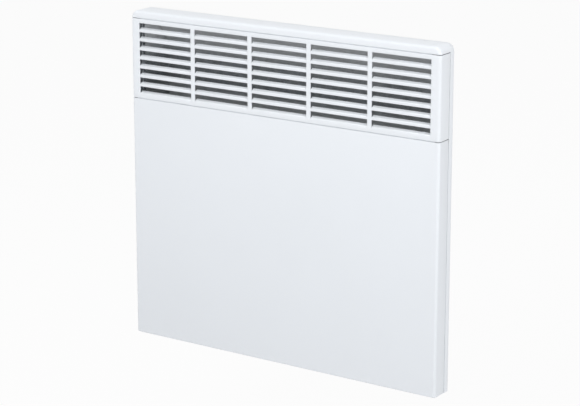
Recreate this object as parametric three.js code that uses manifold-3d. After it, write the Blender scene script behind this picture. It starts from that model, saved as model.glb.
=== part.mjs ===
// Wall panel convector heater: a white sheet-steel casing with a louvred outlet,
// hung on a galvanised wall bracket. Millimetres, +Z up, +X to the right as seen
// from the room, +Y into the wall. The origin is the middle of the bracket's upper
// rail, on the wall. The heater's own group is measured from the casing's bottom edge.

import * as THREE from "three";
import { mergeVertices } from "three/addons/utils/BufferGeometryUtils.js";
import Module from "manifold-3d";

// ---- Driving dimensions ------------------------------------------------------

// General
const fitGap = 0.3; // between pieces that seat on each other
const wallToFront = 78; // overall depth, wall to front face
const mountHeight = 330; // origin above the casing's bottom edge

// White casing
const casingWidth = 460;
const casingHeight = 440;
const casingDepth = 32;
const casingSheet = 1;
const capHeight = 10; // rounded cap above the outlet grille
const capCornerRadius = 10;
const capEdgeRadius = 4.5;
const grilleHeight = 106;
const frontEdgeRadius = 5; // upright front edges, in plan
const frontFlange = 22; // front panel's and grille's side walls
const bottomFlange = 18; // front panel's fold under the casing
const seamGap = 0.8; // between cap, grille and front panel
const flangeJoint = 1; // between front flange and rear frame
const joggleDepth = 10; // rear frame's lip inside the front flange
const seamLip = 6; // backing strip behind each seam
const grilleTabHeight = 6;

// Outlet louvres
const louvreColumns = 5;
const louvreRows = 8;
const louvreSideMargin = 13.05; // casing's side to the first slot
const louvreBarWidth = 6.1; // solid sheet between two columns
const rowPitch = 12;
const slotHeight = 7.85;
const slotTopMargin = 6; // below the grille's top edge
const flapLength = 7.6;
const flapRise = 5; // degrees above level
const flapEndRelief = 0.5;

// Rear tray
const traySheet = 1;
const trayInset = 14; // from the casing's sides
const trayTopInset = 8;
const trayBottomLift = 4;
const trayFlange = 10;
const trayTopFlange = 5.5;
const trayLip = 10; // forward fold along the tray's bottom edge
const wallClearance = 15; // tray's back face to the wall

// Wall bracket
const bracketSheet = 1.5;
const bracketStandOff = 14.5; // bracket's front faces from the wall
const railSideGap = 80; // casing's side to the ends of both rails
const upperRailHeight = 30;
const upperFaceHeight = 30;
const lowerRailHeight = 22;
const lowerFaceHeight = 34;
const ledgeSpacing = 285; // upper rail's ledge down to the lower rail's
const uprightSideGap = 128; // casing's side to an upright's middle
const uprightWidth = 24;
const wallSlotSideGap = 109; // casing's side to a wall screw
const wallSlotLength = 14;
const wallSlotWidth = 6.5;

// Hooks and the heater's lift off them
const hookWidth = 18;
const hookSheet = 2;
const hookRise = 9;
const hookPlay = 0.6; // tray sheet to the hook's finger
const hookSlotSide = 4; // side play of the hook in its slot
const liftTravel = 12;

// Quarter-turn latches
const latchSideGap = 105; // casing's side to a latch
const latchDistance = 286; // below the origin
const latchShaftRadius = 4;
const latchBarLength = 24;
const latchBarWidth = 8;
const latchBarThickness = 2;
const latchBarPlay = 0.6;
const latchHubRadius = 7;
const latchLeverLength = 30;
const latchLeverWidth = 9;
const latchLeverThickness = 3;
const latchSlotWidth = 10;

// Air guide
const guideSheet = 0.8;
const deflectorRadius = 50;
const deflectorBackGap = 4.5; // behind it, room for the hooks
const deflectorTopDrop = 14; // below the casing's top
const deflectorSkirt = 50;
const deflectorFrontLip = 4;
const cheekSheet = 1;
const cheekFrontGap = 9; // from the front face
const cheekFoot = 12;
const cheekHeight = 106;
const shieldFromFront = 8;
const shieldBottom = 14;
const shieldSeamDrop = 8;
const shieldFoot = 7;
const shieldFootInset = 2;

// Air inlet guard
const guardSheet = 1;
const guardOverlap = 7; // on the front panel's bottom flange
const inletPitch = 12;
const inletSlotWidth = 5;
const inletSlotLength = 30;
const inletSideMargin = 8;
const inletFrontMargin = 10;

// Heating element
const elementSideGap = 65; // casing's side to the end of the fins
const elementHeight = 150; // above the casing's bottom edge
const elementFromWall = 43;
const rodRadius = 4.2;
const rodReach = 19; // past the end of the fins
const finHubRadius = 7;
const finLength = 24;
const finThickness = 2.2;
const finCount = 6;
const elementBracketGap = 7; // end of the fins to their bracket
const elementBracketSheet = 1.2;
const elementBracketHeight = 48;
const elementBracketDepth = 46;
const elementFoot = 14;
const bushRadius = 8.7;
const bushFlangeRadius = 11;
const bushFlangeThickness = 2;
const bushLength = 7;
const insulatorRadius = 6;
const insulatorLength = 12;
const insulatorWaist = 4.2;
const tabLength = 8;
const tabWidth = 6.3;
const tabThickness = 0.8;

// Thermal cut-out, above the element
const cutoutFromRight = 76; // from the control box's right side
const cutoutHeight = 216;
const cutoutRadius = 8;
const cutoutThickness = 6;
const cutoutShelfDepth = 28;
const cutoutHolderWidth = 24;
const cutoutHolderHeight = 30;
const cutoutTabSpacing = 7;

// Room temperature probe, in the inlet air
const probeFromBox = 38; // left of the control box
const probeHeight = 78;
const probeLeadHeight = 38; // where its lead leaves the control box
const probeLeadFromWall = 31;
const probeRadius = 3;
const probeLength = 28;
const probeFromSheet = 12;
const probeClipWidth = 10;
const probeClipHeight = 12;
const probeClipSheet = 1;

// Control box, right of the inlet guard
const controlWidth = 110;
const controlSideGap = 5; // to the tray's side
const controlFromWall = 19;
const controlDepth = 42;
const controlHeight = 46;
const controlWall = 2;
const fasciaThickness = 2.5;
const controlRowFromWall = 39; // line of the knobs
const boardHeight = 24;
const boardThickness = 1.6;
const boardGap = 1; // to the box's walls
const boardPost = 6;
const shaftRadius = 3;
const bossClearance = 0.4;

const thermostatFromRight = 24;
const thermostatKnobRadius = 13;
const thermostatKnobHeight = 10;
const thermostatBodySize = 22;
const thermostatBodyHeight = 14;
const knobSpacing = 36; // thermostat knob to mode knob
const modeKnobRadius = 11;
const modeKnobHeight = 10;
const modeBodySize = 18;
const modeBodyHeight = 14;
const knobGripCount = 18;
const knobGripDepth = 0.7;
const knobBoreDepth = 7;
const pointerWidth = 1.2;
const pointerRise = 0.6;

const rockerFromLeft = 18;
const rockerLength = 15;
const rockerWidth = 9;
const rockerWall = 1.6;
const rockerPlay = 0.8;
const rockerBodyHeight = 13;
const rockerBezel = 1.8;
const rockerBezelThickness = 1;
const rockerTilt = 7; // degrees each way
const rockerProud = 2.4;
const rockerPivotHeight = 4;

const lensGap = 5.5; // to the thermostat knob's edge
const lensRadius = 2.5;
const lensRimRadius = 3.4;
const lensLength = 8;

const relaySize = [20, 16, 15];
const relayFromRight = 50;
const capacitorRadius = 7;
const capacitorHeight = 14;
const capacitorFromRight = 20;
const terminalBlockSize = [14, 26, 14];
const terminalBlockFromLeft = 19;
const terminalScrewRadius = 2.4;
const terminalScrewPitch = 8.125;

// Cable gland, without its cord
const glandFromRight = 36;
const glandHeight = 24;
const glandBoreRadius = 3.6;
const glandNeckRadius = 6.2;
const glandFlangeRadius = 9;
const glandFlangeThickness = 1.6;

// Leads and screws
const leadRadius = 1.2;
const leadSides = 6;
const leadStepLength = 8; // straight stretches of a lead's curve
const leadHoleFromWall = 28; // holes in the control box's top
const leadRunFromWall = 22; // leads clipped along the tray
const screwRadius = 1.9;
const screwHoleRadius = 2.2;
const screwHeadRadius = 3.8;
const screwHeadHeight = 2.2;
const screwLength = 6;
const traySidesScrewHeights = [80, 360];
const bottomScrewMargin = 8;

// ---- Worked-out places -------------------------------------------------------

const halfWidth = casingWidth / 2;
const innerHalfWidth = halfWidth - casingSheet;
const louvreRun = casingWidth - 2 * louvreSideMargin;
const columnPitch = (louvreRun + louvreBarWidth) / louvreColumns;
const slotLength = columnPitch - louvreBarWidth;
const frontY = -wallToFront;
const frontInnerY = frontY + casingSheet;
const casingBackY = frontY + casingDepth;
const flangeEndY = frontY + frontFlange;
const frameStartY = flangeEndY + flangeJoint;
const upperSeam = casingHeight - capHeight;
const lowerSeam = upperSeam - grilleHeight;
const bottomFlangeY = frontY + bottomFlange;

const trayHalfWidth = halfWidth - trayInset;
const trayInnerHalf = trayHalfWidth - traySheet;
const trayBackY = -wallClearance;
const trayFrontFaceY = trayBackY - traySheet;
const trayTop = casingHeight - trayTopInset;
const returnFlangeFrontY = casingBackY - casingSheet;
const trayFlangeBackY = returnFlangeFrontY - fitGap;
const trayFlangeFrontY = trayFlangeBackY - traySheet;
const trayFlangeMidX = trayHalfWidth + trayFlange / 2 + fitGap;

const railHalfWidth = halfWidth - railSideGap;
const uprightX = halfWidth - uprightSideGap;
const wallSlotX = halfWidth - wallSlotSideGap;
const latchX = halfWidth - latchSideGap;
const bracketFaceY = -bracketStandOff;
const bracketInnerY = bracketFaceY + bracketSheet;
const upperLedgeZ = upperRailHeight / 2;
const lowerLedgeZ = upperLedgeZ - ledgeSpacing;
const hookTopZ = upperLedgeZ + upperFaceHeight;
const hookFingerBackY = trayFrontFaceY - hookPlay;
const hookFingerFrontY = hookFingerBackY - hookSheet;

const controlRight = trayInnerHalf - controlSideGap;
const controlLeft = controlRight - controlWidth;
const guardBottom = casingSheet + fitGap;
const guardTop = guardBottom + guardSheet;
const floorFrontY = bottomFlangeY - guardOverlap;
const floorBackY = trayFrontFaceY - 2 * fitGap;
const guardRight = controlLeft - 3 * fitGap - casingSheet;

const controlBackY = -controlFromWall;
const controlFrontY = controlBackY - controlDepth;
const controlRowY = -controlRowFromWall;
const fasciaBottom = guardBottom;
const fasciaTop = fasciaBottom + fasciaThickness;
const housingBottom = fasciaTop + fitGap;
const housingTop = housingBottom + controlHeight;
const boardTop = boardHeight + boardThickness;
const thermostatX = controlRight - thermostatFromRight;
const modeX = thermostatX - knobSpacing;
const lensX = thermostatX - thermostatKnobRadius - lensGap;
const rockerX = controlLeft + rockerFromLeft;
const relayX = controlRight - relayFromRight;
const capacitorX = controlRight - capacitorFromRight;
const terminalBlockX = controlLeft + terminalBlockFromLeft;
const glandX = controlRight - glandFromRight;
const probeX = controlLeft - probeFromBox;
const cutoutX = controlRight - cutoutFromRight;

const elementY = -elementFromWall;
const elementLength = casingWidth - 2 * elementSideGap;
const elementBracketNear = elementLength / 2 + elementBracketGap;
const rodEnd = elementLength / 2 + rodReach;
const shieldY = frontY + shieldFromFront;
const cheekOuterX = trayInnerHalf - fitGap;
const cheekInnerX = cheekOuterX - cheekSheet;
const cheekBottom = upperSeam - cheekHeight;
const deflectorTop = casingHeight - deflectorTopDrop;
const cutoutY = trayFrontFaceY - cutoutShelfDepth / 2 - 1;
const bottomScrewY = bottomFlangeY - guardOverlap / 2;

// ---- Finishes ----------------------------------------------------------------

const finishes = {
  whitePaint: { color: 0xf0f2f2, roughness: 0.45, metalness: 0 },
  galvanised: { color: 0x9aa0a4, roughness: 0.45, metalness: 0.9 },
  aluminium: { color: 0xb9bcc0, roughness: 0.4, metalness: 1 },
  steel: { color: 0x84878c, roughness: 0.35, metalness: 1 },
  ceramic: { color: 0xe7e2d6, roughness: 0.5, metalness: 0 },
  brass: { color: 0xc2a14d, roughness: 0.3, metalness: 1 },
  whitePlastic: { color: 0xeceeee, roughness: 0.5, metalness: 0 },
  greyPlastic: { color: 0xb4b8bb, roughness: 0.55, metalness: 0 },
  blackPlastic: { color: 0x232527, roughness: 0.5, metalness: 0 },
  amberLens: { color: 0xd9661c, roughness: 0.2, metalness: 0 },
  board: { color: 0x1d6b3c, roughness: 0.5, metalness: 0 },
  brownLead: { color: 0x5e3a24, roughness: 0.6, metalness: 0 },
  blueLead: { color: 0x2a55a3, roughness: 0.6, metalness: 0 },
  whiteLead: { color: 0xdedcd2, roughness: 0.6, metalness: 0 },
  rubber: { color: 0x2b2b2c, roughness: 0.8, metalness: 0 },
};

// ---- Solid helpers -----------------------------------------------------------

const wasm = await Module();
wasm.setup();

// A closed three.js geometry as a solid that can be joined and cut.
function solidOf(geometry) {
  const bare = new THREE.BufferGeometry();
  bare.setAttribute("position", geometry.getAttribute("position"));
  bare.setIndex(geometry.getIndex());
  const merged = mergeVertices(bare, 1e-4);
  const mesh = new wasm.Mesh({
    numProp: 3,
    vertProperties: merged.getAttribute("position").array,
    triVerts: new Uint32Array(merged.getIndex().array),
  });
  return new wasm.Manifold(mesh);
}

function geometryOf(solid) {
  const mesh = solid.getMesh();
  const positions = new THREE.BufferAttribute(new Float32Array(mesh.vertProperties), 3);
  const geometry = new THREE.BufferGeometry();
  geometry.setAttribute("position", positions);
  geometry.setIndex(new THREE.BufferAttribute(new Uint32Array(mesh.triVerts), 1));
  geometry.computeVertexNormals();
  return geometry;
}

function joined(solids) {
  return solids.reduce((whole, piece) => whole.add(piece));
}

function cut(solid, cutters) {
  return cutters.reduce((whole, cutter) => whole.subtract(cutter), solid);
}

// The stretch between two distances from the middle, on the left (-1) or right (1).
function onSide(side, near, far) {
  return side > 0 ? [near, far] : [-far, -near];
}

function block([x0, x1], [y0, y1], [z0, z1]) {
  const geometry = new THREE.BoxGeometry(x1 - x0, y1 - y0, z1 - z0);
  geometry.translate((x0 + x1) / 2, (y0 + y1) / 2, (z0 + z1) / 2);
  return solidOf(geometry);
}

function pushed(outline, length, options = {}) {
  const settings = { depth: length, bevelEnabled: false, curveSegments: 5, ...options };
  return new THREE.ExtrudeGeometry(outline, settings);
}

// An outline in (y, z), pushed along X.
function prismX(outline, [x0, x1]) {
  const turn = new THREE.Matrix4().makeBasis(
    new THREE.Vector3(0, 1, 0),
    new THREE.Vector3(0, 0, 1),
    new THREE.Vector3(1, 0, 0),
  );
  return solidOf(pushed(outline, x1 - x0).applyMatrix4(turn).translate(x0, 0, 0));
}

// An outline in (x, z), pushed along Y.
function prismY(outline, [y0, y1], options) {
  const geometry = pushed(outline, y1 - y0, options);
  return solidOf(geometry.rotateX(Math.PI / 2).translate(0, y1, 0));
}

// An outline in (x, y), pushed along Z.
function prismZ(outline, [z0, z1]) {
  return solidOf(pushed(outline, z1 - z0).translate(0, 0, z0));
}

// A closed profile of [radius, distance] pairs turned about an axis: "x", "y" or "z".
function turned(profile, axis, segments = 16) {
  const points = profile.map(([radius, along]) => new THREE.Vector2(radius, along));
  const geometry = new THREE.LatheGeometry(points, segments);
  if (axis === "x") {
    geometry.rotateZ(-Math.PI / 2);
  }
  if (axis === "z") {
    geometry.rotateX(Math.PI / 2);
  }
  return solidOf(geometry);
}

function disc(radius, [from, to], axis, segments) {
  return turned([[0, from], [radius, from], [radius, to], [0, to]], axis, segments);
}

function ring(inner, outer, [from, to], axis, segments) {
  const profile = [[inner, from], [outer, from], [outer, to], [inner, to], [inner, from]];
  return turned(profile, axis, segments);
}

// A screw hole through a sheet that faces along the named axis.
function screwHole([x, y, z], axis) {
  return disc(screwHoleRadius, [-2 * screwLength, 2 * screwLength], axis, 12).translate(x, y, z);
}

function polygon(points) {
  return new THREE.Shape(points.map(([u, v]) => new THREE.Vector2(u, v)));
}

// ---- White casing ------------------------------------------------------------

// The plan of a folded front: a flat face and two side walls round the front edges.
function foldedFrontPlan() {
  const outer = frontEdgeRadius;
  const inner = frontEdgeRadius - casingSheet;
  const cornerX = halfWidth - outer;
  const cornerY = frontY + outer;
  const plan = new THREE.Shape();
  plan.moveTo(-halfWidth, flangeEndY);
  plan.lineTo(-halfWidth, cornerY);
  plan.absarc(-cornerX, cornerY, outer, Math.PI, 1.5 * Math.PI, false);
  plan.absarc(cornerX, cornerY, outer, 1.5 * Math.PI, 2 * Math.PI, false);
  plan.lineTo(halfWidth, flangeEndY);
  plan.lineTo(innerHalfWidth, flangeEndY);
  plan.absarc(cornerX, cornerY, inner, 2 * Math.PI, 1.5 * Math.PI, true);
  plan.absarc(-cornerX, cornerY, inner, 1.5 * Math.PI, Math.PI, true);
  plan.lineTo(-innerHalfWidth, flangeEndY);
  return plan;
}

// The same plan filled in, back to the end of the bottom flange.
function bottomFlangePlan() {
  const cornerX = halfWidth - frontEdgeRadius;
  const cornerY = frontY + frontEdgeRadius;
  const plan = new THREE.Shape();
  plan.moveTo(-halfWidth, bottomFlangeY);
  plan.absarc(-cornerX, cornerY, frontEdgeRadius, Math.PI, 1.5 * Math.PI, false);
  plan.absarc(cornerX, cornerY, frontEdgeRadius, 1.5 * Math.PI, 2 * Math.PI, false);
  plan.lineTo(halfWidth, bottomFlangeY);
  return plan;
}

const bottomScrewXs = [
  -trayInnerHalf + bottomScrewMargin,
  guardRight - bottomScrewMargin,
  controlLeft + bottomScrewMargin,
  controlRight - bottomScrewMargin,
];

function frontPanel() {
  const walls = prismZ(foldedFrontPlan(), [0, lowerSeam - seamGap / 2]);
  const fold = prismZ(bottomFlangePlan(), [0, casingSheet]);
  const holes = bottomScrewXs.map((x) => screwHole([x, bottomScrewY, 0], "z"));
  return cut(walls.add(fold), holes);
}

// A strip behind the seam at the bottom of the piece above it, joined by a step.
function seamBacking(seam, reach) {
  const span = [-reach, reach];
  const stripBackY = frontInnerY + fitGap + casingSheet;
  const bottom = seam + seamGap / 2;
  const top = bottom + casingSheet;
  const strip = block(span, [frontInnerY + fitGap, stripBackY], [bottom - seamLip, top]);
  const step = block(span, [frontInnerY - casingSheet / 2, stripBackY], [bottom, top]);
  return strip.add(step);
}

function louvreFlap(slotBottom) {
  const rise = THREE.MathUtils.degToRad(flapRise);
  const along = [Math.cos(rise), Math.sin(rise)];
  const under = [Math.sin(rise) * casingSheet, -Math.cos(rise) * casingSheet];
  const tip = [frontY + flapLength * along[0], slotBottom + flapLength * along[1]];
  return polygon([
    [frontY, slotBottom],
    [frontY + under[0], slotBottom + under[1]],
    [tip[0] + under[0], tip[1] + under[1]],
    tip,
  ]);
}

function outletGrille() {
  const walls = prismZ(foldedFrontPlan(), [lowerSeam + seamGap / 2, upperSeam - seamGap / 2]);
  const backing = seamBacking(lowerSeam, halfWidth - frontEdgeRadius - seamLip / 2);
  const slots = [];
  const flaps = [];
  for (let row = 0; row < louvreRows; row++) {
    const top = upperSeam - slotTopMargin - row * rowPitch;
    const bottom = top - slotHeight;
    for (let column = 0; column < louvreColumns; column++) {
      const left = -louvreRun / 2 + column * columnPitch;
      const right = left + slotLength;
      slots.push(block([left, right], [frontY - 1, frontInnerY + 1], [bottom, top]));
      flaps.push(prismX(louvreFlap(bottom), [left + flapEndRelief, right - flapEndRelief]));
    }
  }
  return joined([cut(walls, slots), backing, ...flaps]);
}

// The casing's front outline without its bottom edge, a rounded slab from front to back.
function casingSlab(inset, backY) {
  const wide = halfWidth - inset;
  const top = casingHeight - inset;
  const corner = capCornerRadius - inset;
  const edge = capEdgeRadius - inset;
  const low = -casingHeight;
  const outline = new THREE.Shape();
  outline.moveTo(-wide, low);
  outline.lineTo(wide, low);
  outline.absarc(wide - corner, top - corner, corner, 0, Math.PI / 2, false);
  outline.absarc(-wide + corner, top - corner, corner, Math.PI / 2, Math.PI, false);
  const rounding = {
    bevelEnabled: true,
    bevelThickness: edge,
    bevelSize: edge,
    bevelOffset: -edge,
    bevelSegments: 4,
  };
  const front = frontY + inset;
  const whole = prismY(outline, [front + edge, backY + casingDepth], rounding);
  const behind = [backY, backY + 3 * casingDepth];
  return whole.subtract(block([-casingWidth, casingWidth], behind, [2 * low, -2 * low]));
}

// The rear frame's lip that reaches inside the front flange, over a height.
function joggle(side, heights) {
  const outer = innerHalfWidth - fitGap;
  const inner = outer - casingSheet;
  const outside = halfWidth - casingSheet / 2;
  const backY = frameStartY + casingSheet;
  const lip = block(onSide(side, inner, outer), [flangeEndY - joggleDepth, backY], heights);
  const step = block(onSide(side, inner, outside), [frameStartY, backY], heights);
  return lip.add(step);
}

function casingFrame() {
  const shell = casingSlab(0, casingBackY).subtract(casingSlab(casingSheet, returnFlangeFrontY));
  const wide = [-casingWidth, casingWidth];
  const seamBottom = upperSeam + seamGap / 2;
  const frontRoom = block(wide, [2 * frontY, frameStartY], [-2 * casingHeight, seamBottom]);
  const below = block(wide, [2 * frontY, 0], [-2 * casingHeight, 0]);
  const windowHalf = trayHalfWidth + fitGap;
  const windowDepth = [returnFlangeFrontY - casingSheet, 0];
  const rearWindow = block([-windowHalf, windowHalf], windowDepth, [-casingHeight, trayTop + fitGap]);
  const gripHeight = grilleTabHeight - casingSheet;
  const tabs = [-1, 1].flatMap((side) => [
    joggle(side, [2 * casingSheet, lowerSeam - seamLip]),
    joggle(side, [lowerSeam + seamGap, lowerSeam + seamGap + grilleTabHeight]),
    joggle(side, [upperSeam - seamGap - gripHeight, upperSeam - seamGap]),
  ]);
  const backing = seamBacking(upperSeam, halfWidth - capCornerRadius - seamLip / 2);
  const outside = halfWidth - casingSheet / 2;
  const feet = [-1, 1].map((side) =>
    block(onSide(side, windowHalf, outside), [frameStartY, casingBackY], [0, casingSheet]),
  );
  const frame = cut(shell, [frontRoom, below, rearWindow]);
  return cut(joined([frame, backing, ...tabs, ...feet]), trayScrewHoles());
}

// ---- Rear tray ---------------------------------------------------------------

function trayScrewPlaces() {
  return [-1, 1].flatMap((side) =>
    traySidesScrewHeights.map((height) => [side * trayFlangeMidX, height]),
  );
}

function trayScrewHoles() {
  return trayScrewPlaces().map(([x, height]) => screwHole([x, casingBackY, height], "y"));
}

function hookSlot(side) {
  const middle = side * uprightX;
  const half = hookWidth / 2 + hookSlotSide;
  const top = mountHeight + hookTopZ + fitGap;
  const bottom = top - hookSheet - liftTravel - 4 * fitGap;
  return block([middle - half, middle + half], [trayFrontFaceY - 1, trayBackY + 1], [bottom, top]);
}

function latchSlot(side) {
  const middle = side * latchX;
  const half = latchSlotWidth / 2;
  const barReach = latchBarLength / 2 + 1;
  const height = mountHeight - latchDistance;
  const heights = [height - barReach - liftTravel, height + barReach];
  return block([middle - half, middle + half], [trayFrontFaceY - 1, trayBackY + 1], heights);
}

function rearTray() {
  const floor = trayBottomLift;
  const span = [-trayHalfWidth, trayHalfWidth];
  const outer = block(span, [trayFlangeFrontY, trayBackY], [floor, trayTop]);
  const inner = block(
    [-trayInnerHalf, trayInnerHalf],
    [trayFlangeFrontY - 1, trayFrontFaceY],
    [guardTop + fitGap + traySheet, trayTop - traySheet],
  );
  const openFloor = block(
    [-trayHalfWidth - 1, trayHalfWidth + 1],
    [trayFlangeFrontY - 1, trayBackY - traySheet - trayLip],
    [0, floor + traySheet],
  );
  const controlRoom = block(
    [guardRight, trayHalfWidth - traySheet],
    [trayFlangeFrontY - 1, trayFrontFaceY],
    [0, floor + traySheet],
  );
  const flangeDepth = [trayFlangeFrontY, trayFlangeBackY];
  const sideFlanges = [-1, 1].map((side) =>
    block(onSide(side, trayInnerHalf, trayHalfWidth + trayFlange), flangeDepth, [floor, trayTop]),
  );
  const topFlange = block(span, flangeDepth, [trayTop - traySheet, trayTop + trayTopFlange]);
  const lip = block(
    [-trayInnerHalf - traySheet / 2, guardRight],
    [trayFrontFaceY - trayLip, trayBackY - traySheet / 2],
    [floor, floor + traySheet],
  );
  const box = cut(outer, [inner, openFloor, controlRoom]);
  const through = [-2 * traySheet, 2 * traySheet];
  const glandHole = disc(glandNeckRadius + fitGap, through, "y");
  const elementHoles = [-1, 1].map((side) =>
    screwHole([side * elementScrewX(), trayBackY, elementHeight], "y"),
  );
  const cutters = [
    hookSlot(-1),
    hookSlot(1),
    latchSlot(-1),
    latchSlot(1),
    glandHole.translate(glandX, trayBackY, glandHeight),
    screwHole([cutoutX, trayBackY, cutoutHeight + cutoutHolderHeight / 2], "y"),
    screwHole([probeX, trayBackY, probeHeight], "y"),
    ...elementHoles,
    ...trayScrewHoles(),
  ];
  return cut(joined([box, lip, ...sideFlanges, topFlange]), cutters);
}

// ---- Air inlet guard ---------------------------------------------------------

function inletGuard() {
  const left = -trayInnerHalf + fitGap;
  const sheet = block([left, guardRight], [floorFrontY, floorBackY], [guardBottom, guardTop]);
  const slots = [];
  const slotFront = bottomFlangeY + inletFrontMargin - guardOverlap;
  const slotDepth = [slotFront, slotFront + inletSlotLength];
  const last = guardRight - inletSideMargin / 2 - inletSlotWidth;
  for (let x = left + inletSideMargin; x < last; x += inletPitch) {
    slots.push(block([x, x + inletSlotWidth], slotDepth, [0, guardTop + 1]));
  }
  const holes = bottomScrewXs.slice(0, 2).map((x) => screwHole([x, bottomScrewY, 0], "z"));
  return cut(sheet, [...slots, ...holes]);
}

// ---- Wall bracket and latches ------------------------------------------------

function wallSlot(x, z) {
  const half = (wallSlotLength - wallSlotWidth) / 2;
  const radius = wallSlotWidth / 2;
  const outline = new THREE.Shape();
  outline.absarc(x + half, z, radius, -Math.PI / 2, Math.PI / 2, false);
  outline.absarc(x - half, z, radius, Math.PI / 2, 1.5 * Math.PI, false);
  return prismY(outline, [-2 * bracketSheet, bracketSheet]);
}

function hook(side) {
  const middle = side * uprightX;
  const width = [middle - hookWidth / 2, middle + hookWidth / 2];
  const bottom = hookTopZ - hookSheet;
  const tongue = block(width, [hookFingerFrontY, bracketInnerY], [bottom, hookTopZ]);
  const finger = block(width, [hookFingerFrontY, hookFingerBackY], [bottom, hookTopZ + hookRise]);
  return tongue.add(finger);
}

function upright(side) {
  const inner = uprightX - uprightWidth / 2;
  const outer = uprightX + uprightWidth / 2;
  const heights = [lowerLedgeZ - bracketSheet / 2, upperLedgeZ + bracketSheet / 2];
  const face = block(onSide(side, inner, outer), [bracketFaceY, bracketInnerY], heights);
  const webs = [
    block(onSide(side, inner, inner + bracketSheet), [bracketFaceY, 0], heights),
    block(onSide(side, outer - bracketSheet, outer), [bracketFaceY, 0], heights),
  ];
  return joined([face, ...webs]);
}

function wallBracket() {
  const span = [-railHalfWidth, railHalfWidth];
  const depth = [bracketFaceY, 0];
  const wallSheet = [-bracketSheet, 0];
  const faceSheet = [bracketFaceY, bracketInnerY];
  const sheets = [
    block(span, wallSheet, [-upperRailHeight / 2, upperLedgeZ]),
    block(span, depth, [upperLedgeZ - bracketSheet, upperLedgeZ]),
    block(span, faceSheet, [upperLedgeZ - bracketSheet, hookTopZ]),
    block(span, wallSheet, [lowerLedgeZ - bracketSheet, lowerLedgeZ + lowerRailHeight]),
    block(span, depth, [lowerLedgeZ - bracketSheet, lowerLedgeZ]),
    block(span, faceSheet, [lowerLedgeZ - lowerFaceHeight, lowerLedgeZ]),
  ];
  const lowerSlotZ = lowerLedgeZ + lowerRailHeight / 2;
  const through = [-2 * bracketSheet, 2 * bracketSheet];
  const cutters = [-1, 1].flatMap((side) => [
    wallSlot(side * wallSlotX, 0),
    wallSlot(side * wallSlotX, lowerSlotZ),
    disc(latchShaftRadius + fitGap, through, "y")
      .translate(side * latchX, bracketFaceY, -latchDistance),
  ]);
  return cut(joined([...sheets, upright(-1), upright(1), hook(-1), hook(1)]), cutters);
}

// A quarter-turn latch about its own axis: bar in the tray, lever behind the bracket.
function latch() {
  const barBackY = trayFrontFaceY - latchBarPlay;
  const barFrontY = barBackY - latchBarThickness;
  const hubFrontY = bracketInnerY + fitGap;
  const leverBackY = hubFrontY + latchLeverThickness;
  const shaft = disc(latchShaftRadius, [barFrontY, hubFrontY + latchLeverThickness / 2], "y");
  const hub = disc(latchHubRadius, [hubFrontY, leverBackY], "y");
  const bar = block(
    [-latchBarLength / 2, latchBarLength / 2],
    [barFrontY, barBackY],
    [-latchBarWidth / 2, latchBarWidth / 2],
  );
  const lever = block(
    [-latchLeverWidth / 2, latchLeverWidth / 2],
    [hubFrontY, leverBackY],
    [-latchLeverLength, 0],
  );
  return joined([shaft, hub, bar, lever]);
}

// ---- Air guide and heat shield -----------------------------------------------

function heatDeflector() {
  const backY = trayFrontFaceY - deflectorBackGap;
  const centreY = backY - deflectorRadius;
  const centreZ = deflectorTop - deflectorRadius;
  const inner = deflectorRadius - guideSheet;
  const profile = new THREE.Shape();
  profile.moveTo(backY, centreZ - deflectorSkirt);
  profile.absarc(centreY, centreZ, deflectorRadius, 0, Math.PI / 2, false);
  profile.lineTo(centreY - deflectorFrontLip, deflectorTop);
  profile.lineTo(centreY - deflectorFrontLip, deflectorTop - guideSheet);
  profile.absarc(centreY, centreZ, inner, Math.PI / 2, 0, true);
  profile.lineTo(backY - guideSheet, centreZ - deflectorSkirt);
  const reach = cheekInnerX - fitGap;
  return prismX(profile, [-reach, reach]);
}

function deflectorCheek(side) {
  const frontEdge = frontY + cheekFrontGap;
  const heights = [cheekBottom, trayTop - traySheet - fitGap];
  const footBackY = trayFrontFaceY - fitGap;
  const plate = block(onSide(side, cheekInnerX, cheekOuterX), [frontEdge, footBackY], heights);
  const skirtBottom = deflectorTop - deflectorRadius - deflectorSkirt;
  const foot = block(
    onSide(side, cheekInnerX - cheekFoot, cheekOuterX),
    [footBackY - cheekSheet, footBackY],
    [cheekBottom, skirtBottom - fitGap],
  );
  return plate.add(foot);
}

function heatShield() {
  const footBackY = trayFlangeFrontY - fitGap;
  const wide = trayHalfWidth + shieldFootInset;
  const heights = [shieldBottom, lowerSeam - shieldSeamDrop];
  const sheet = block([-wide, wide], [shieldY, shieldY + guideSheet], heights);
  const returns = [-1, 1].flatMap((side) => [
    block(onSide(side, wide - guideSheet, wide), [shieldY, footBackY], heights),
    block(onSide(side, wide - guideSheet, wide + shieldFoot), [footBackY - guideSheet, footBackY], heights),
  ]);
  return cut(joined([sheet, ...returns]), trayScrewHoles());
}

// ---- Heating element ---------------------------------------------------------

// Straight fins round a hub, drawn about the rod's axis.
function finOutline() {
  const outline = new THREE.Shape();
  const half = finThickness / 2;
  const rootAlong = Math.sqrt(finHubRadius ** 2 - half ** 2);
  for (let fin = 0; fin < finCount; fin++) {
    const angle = ((fin + 0.5) * 2 * Math.PI) / finCount;
    const corners = [[rootAlong, -half], [finLength, -half], [finLength, half], [rootAlong, half]];
    corners.forEach(([along, across], corner) => {
      const y = along * Math.cos(angle) - across * Math.sin(angle);
      const z = along * Math.sin(angle) + across * Math.cos(angle);
      const draw = fin + corner === 0 ? "moveTo" : "lineTo";
      outline[draw](y, z);
    });
  }
  return outline;
}

function heatingElement() {
  const body = prismX(finOutline(), [-elementLength / 2, elementLength / 2]);
  const bore = disc(rodRadius + fitGap, [-elementLength, elementLength], "x");
  return body.subtract(bore);
}

function elementScrewX() {
  return elementBracketNear + elementBracketSheet + elementFoot / 2;
}

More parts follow.
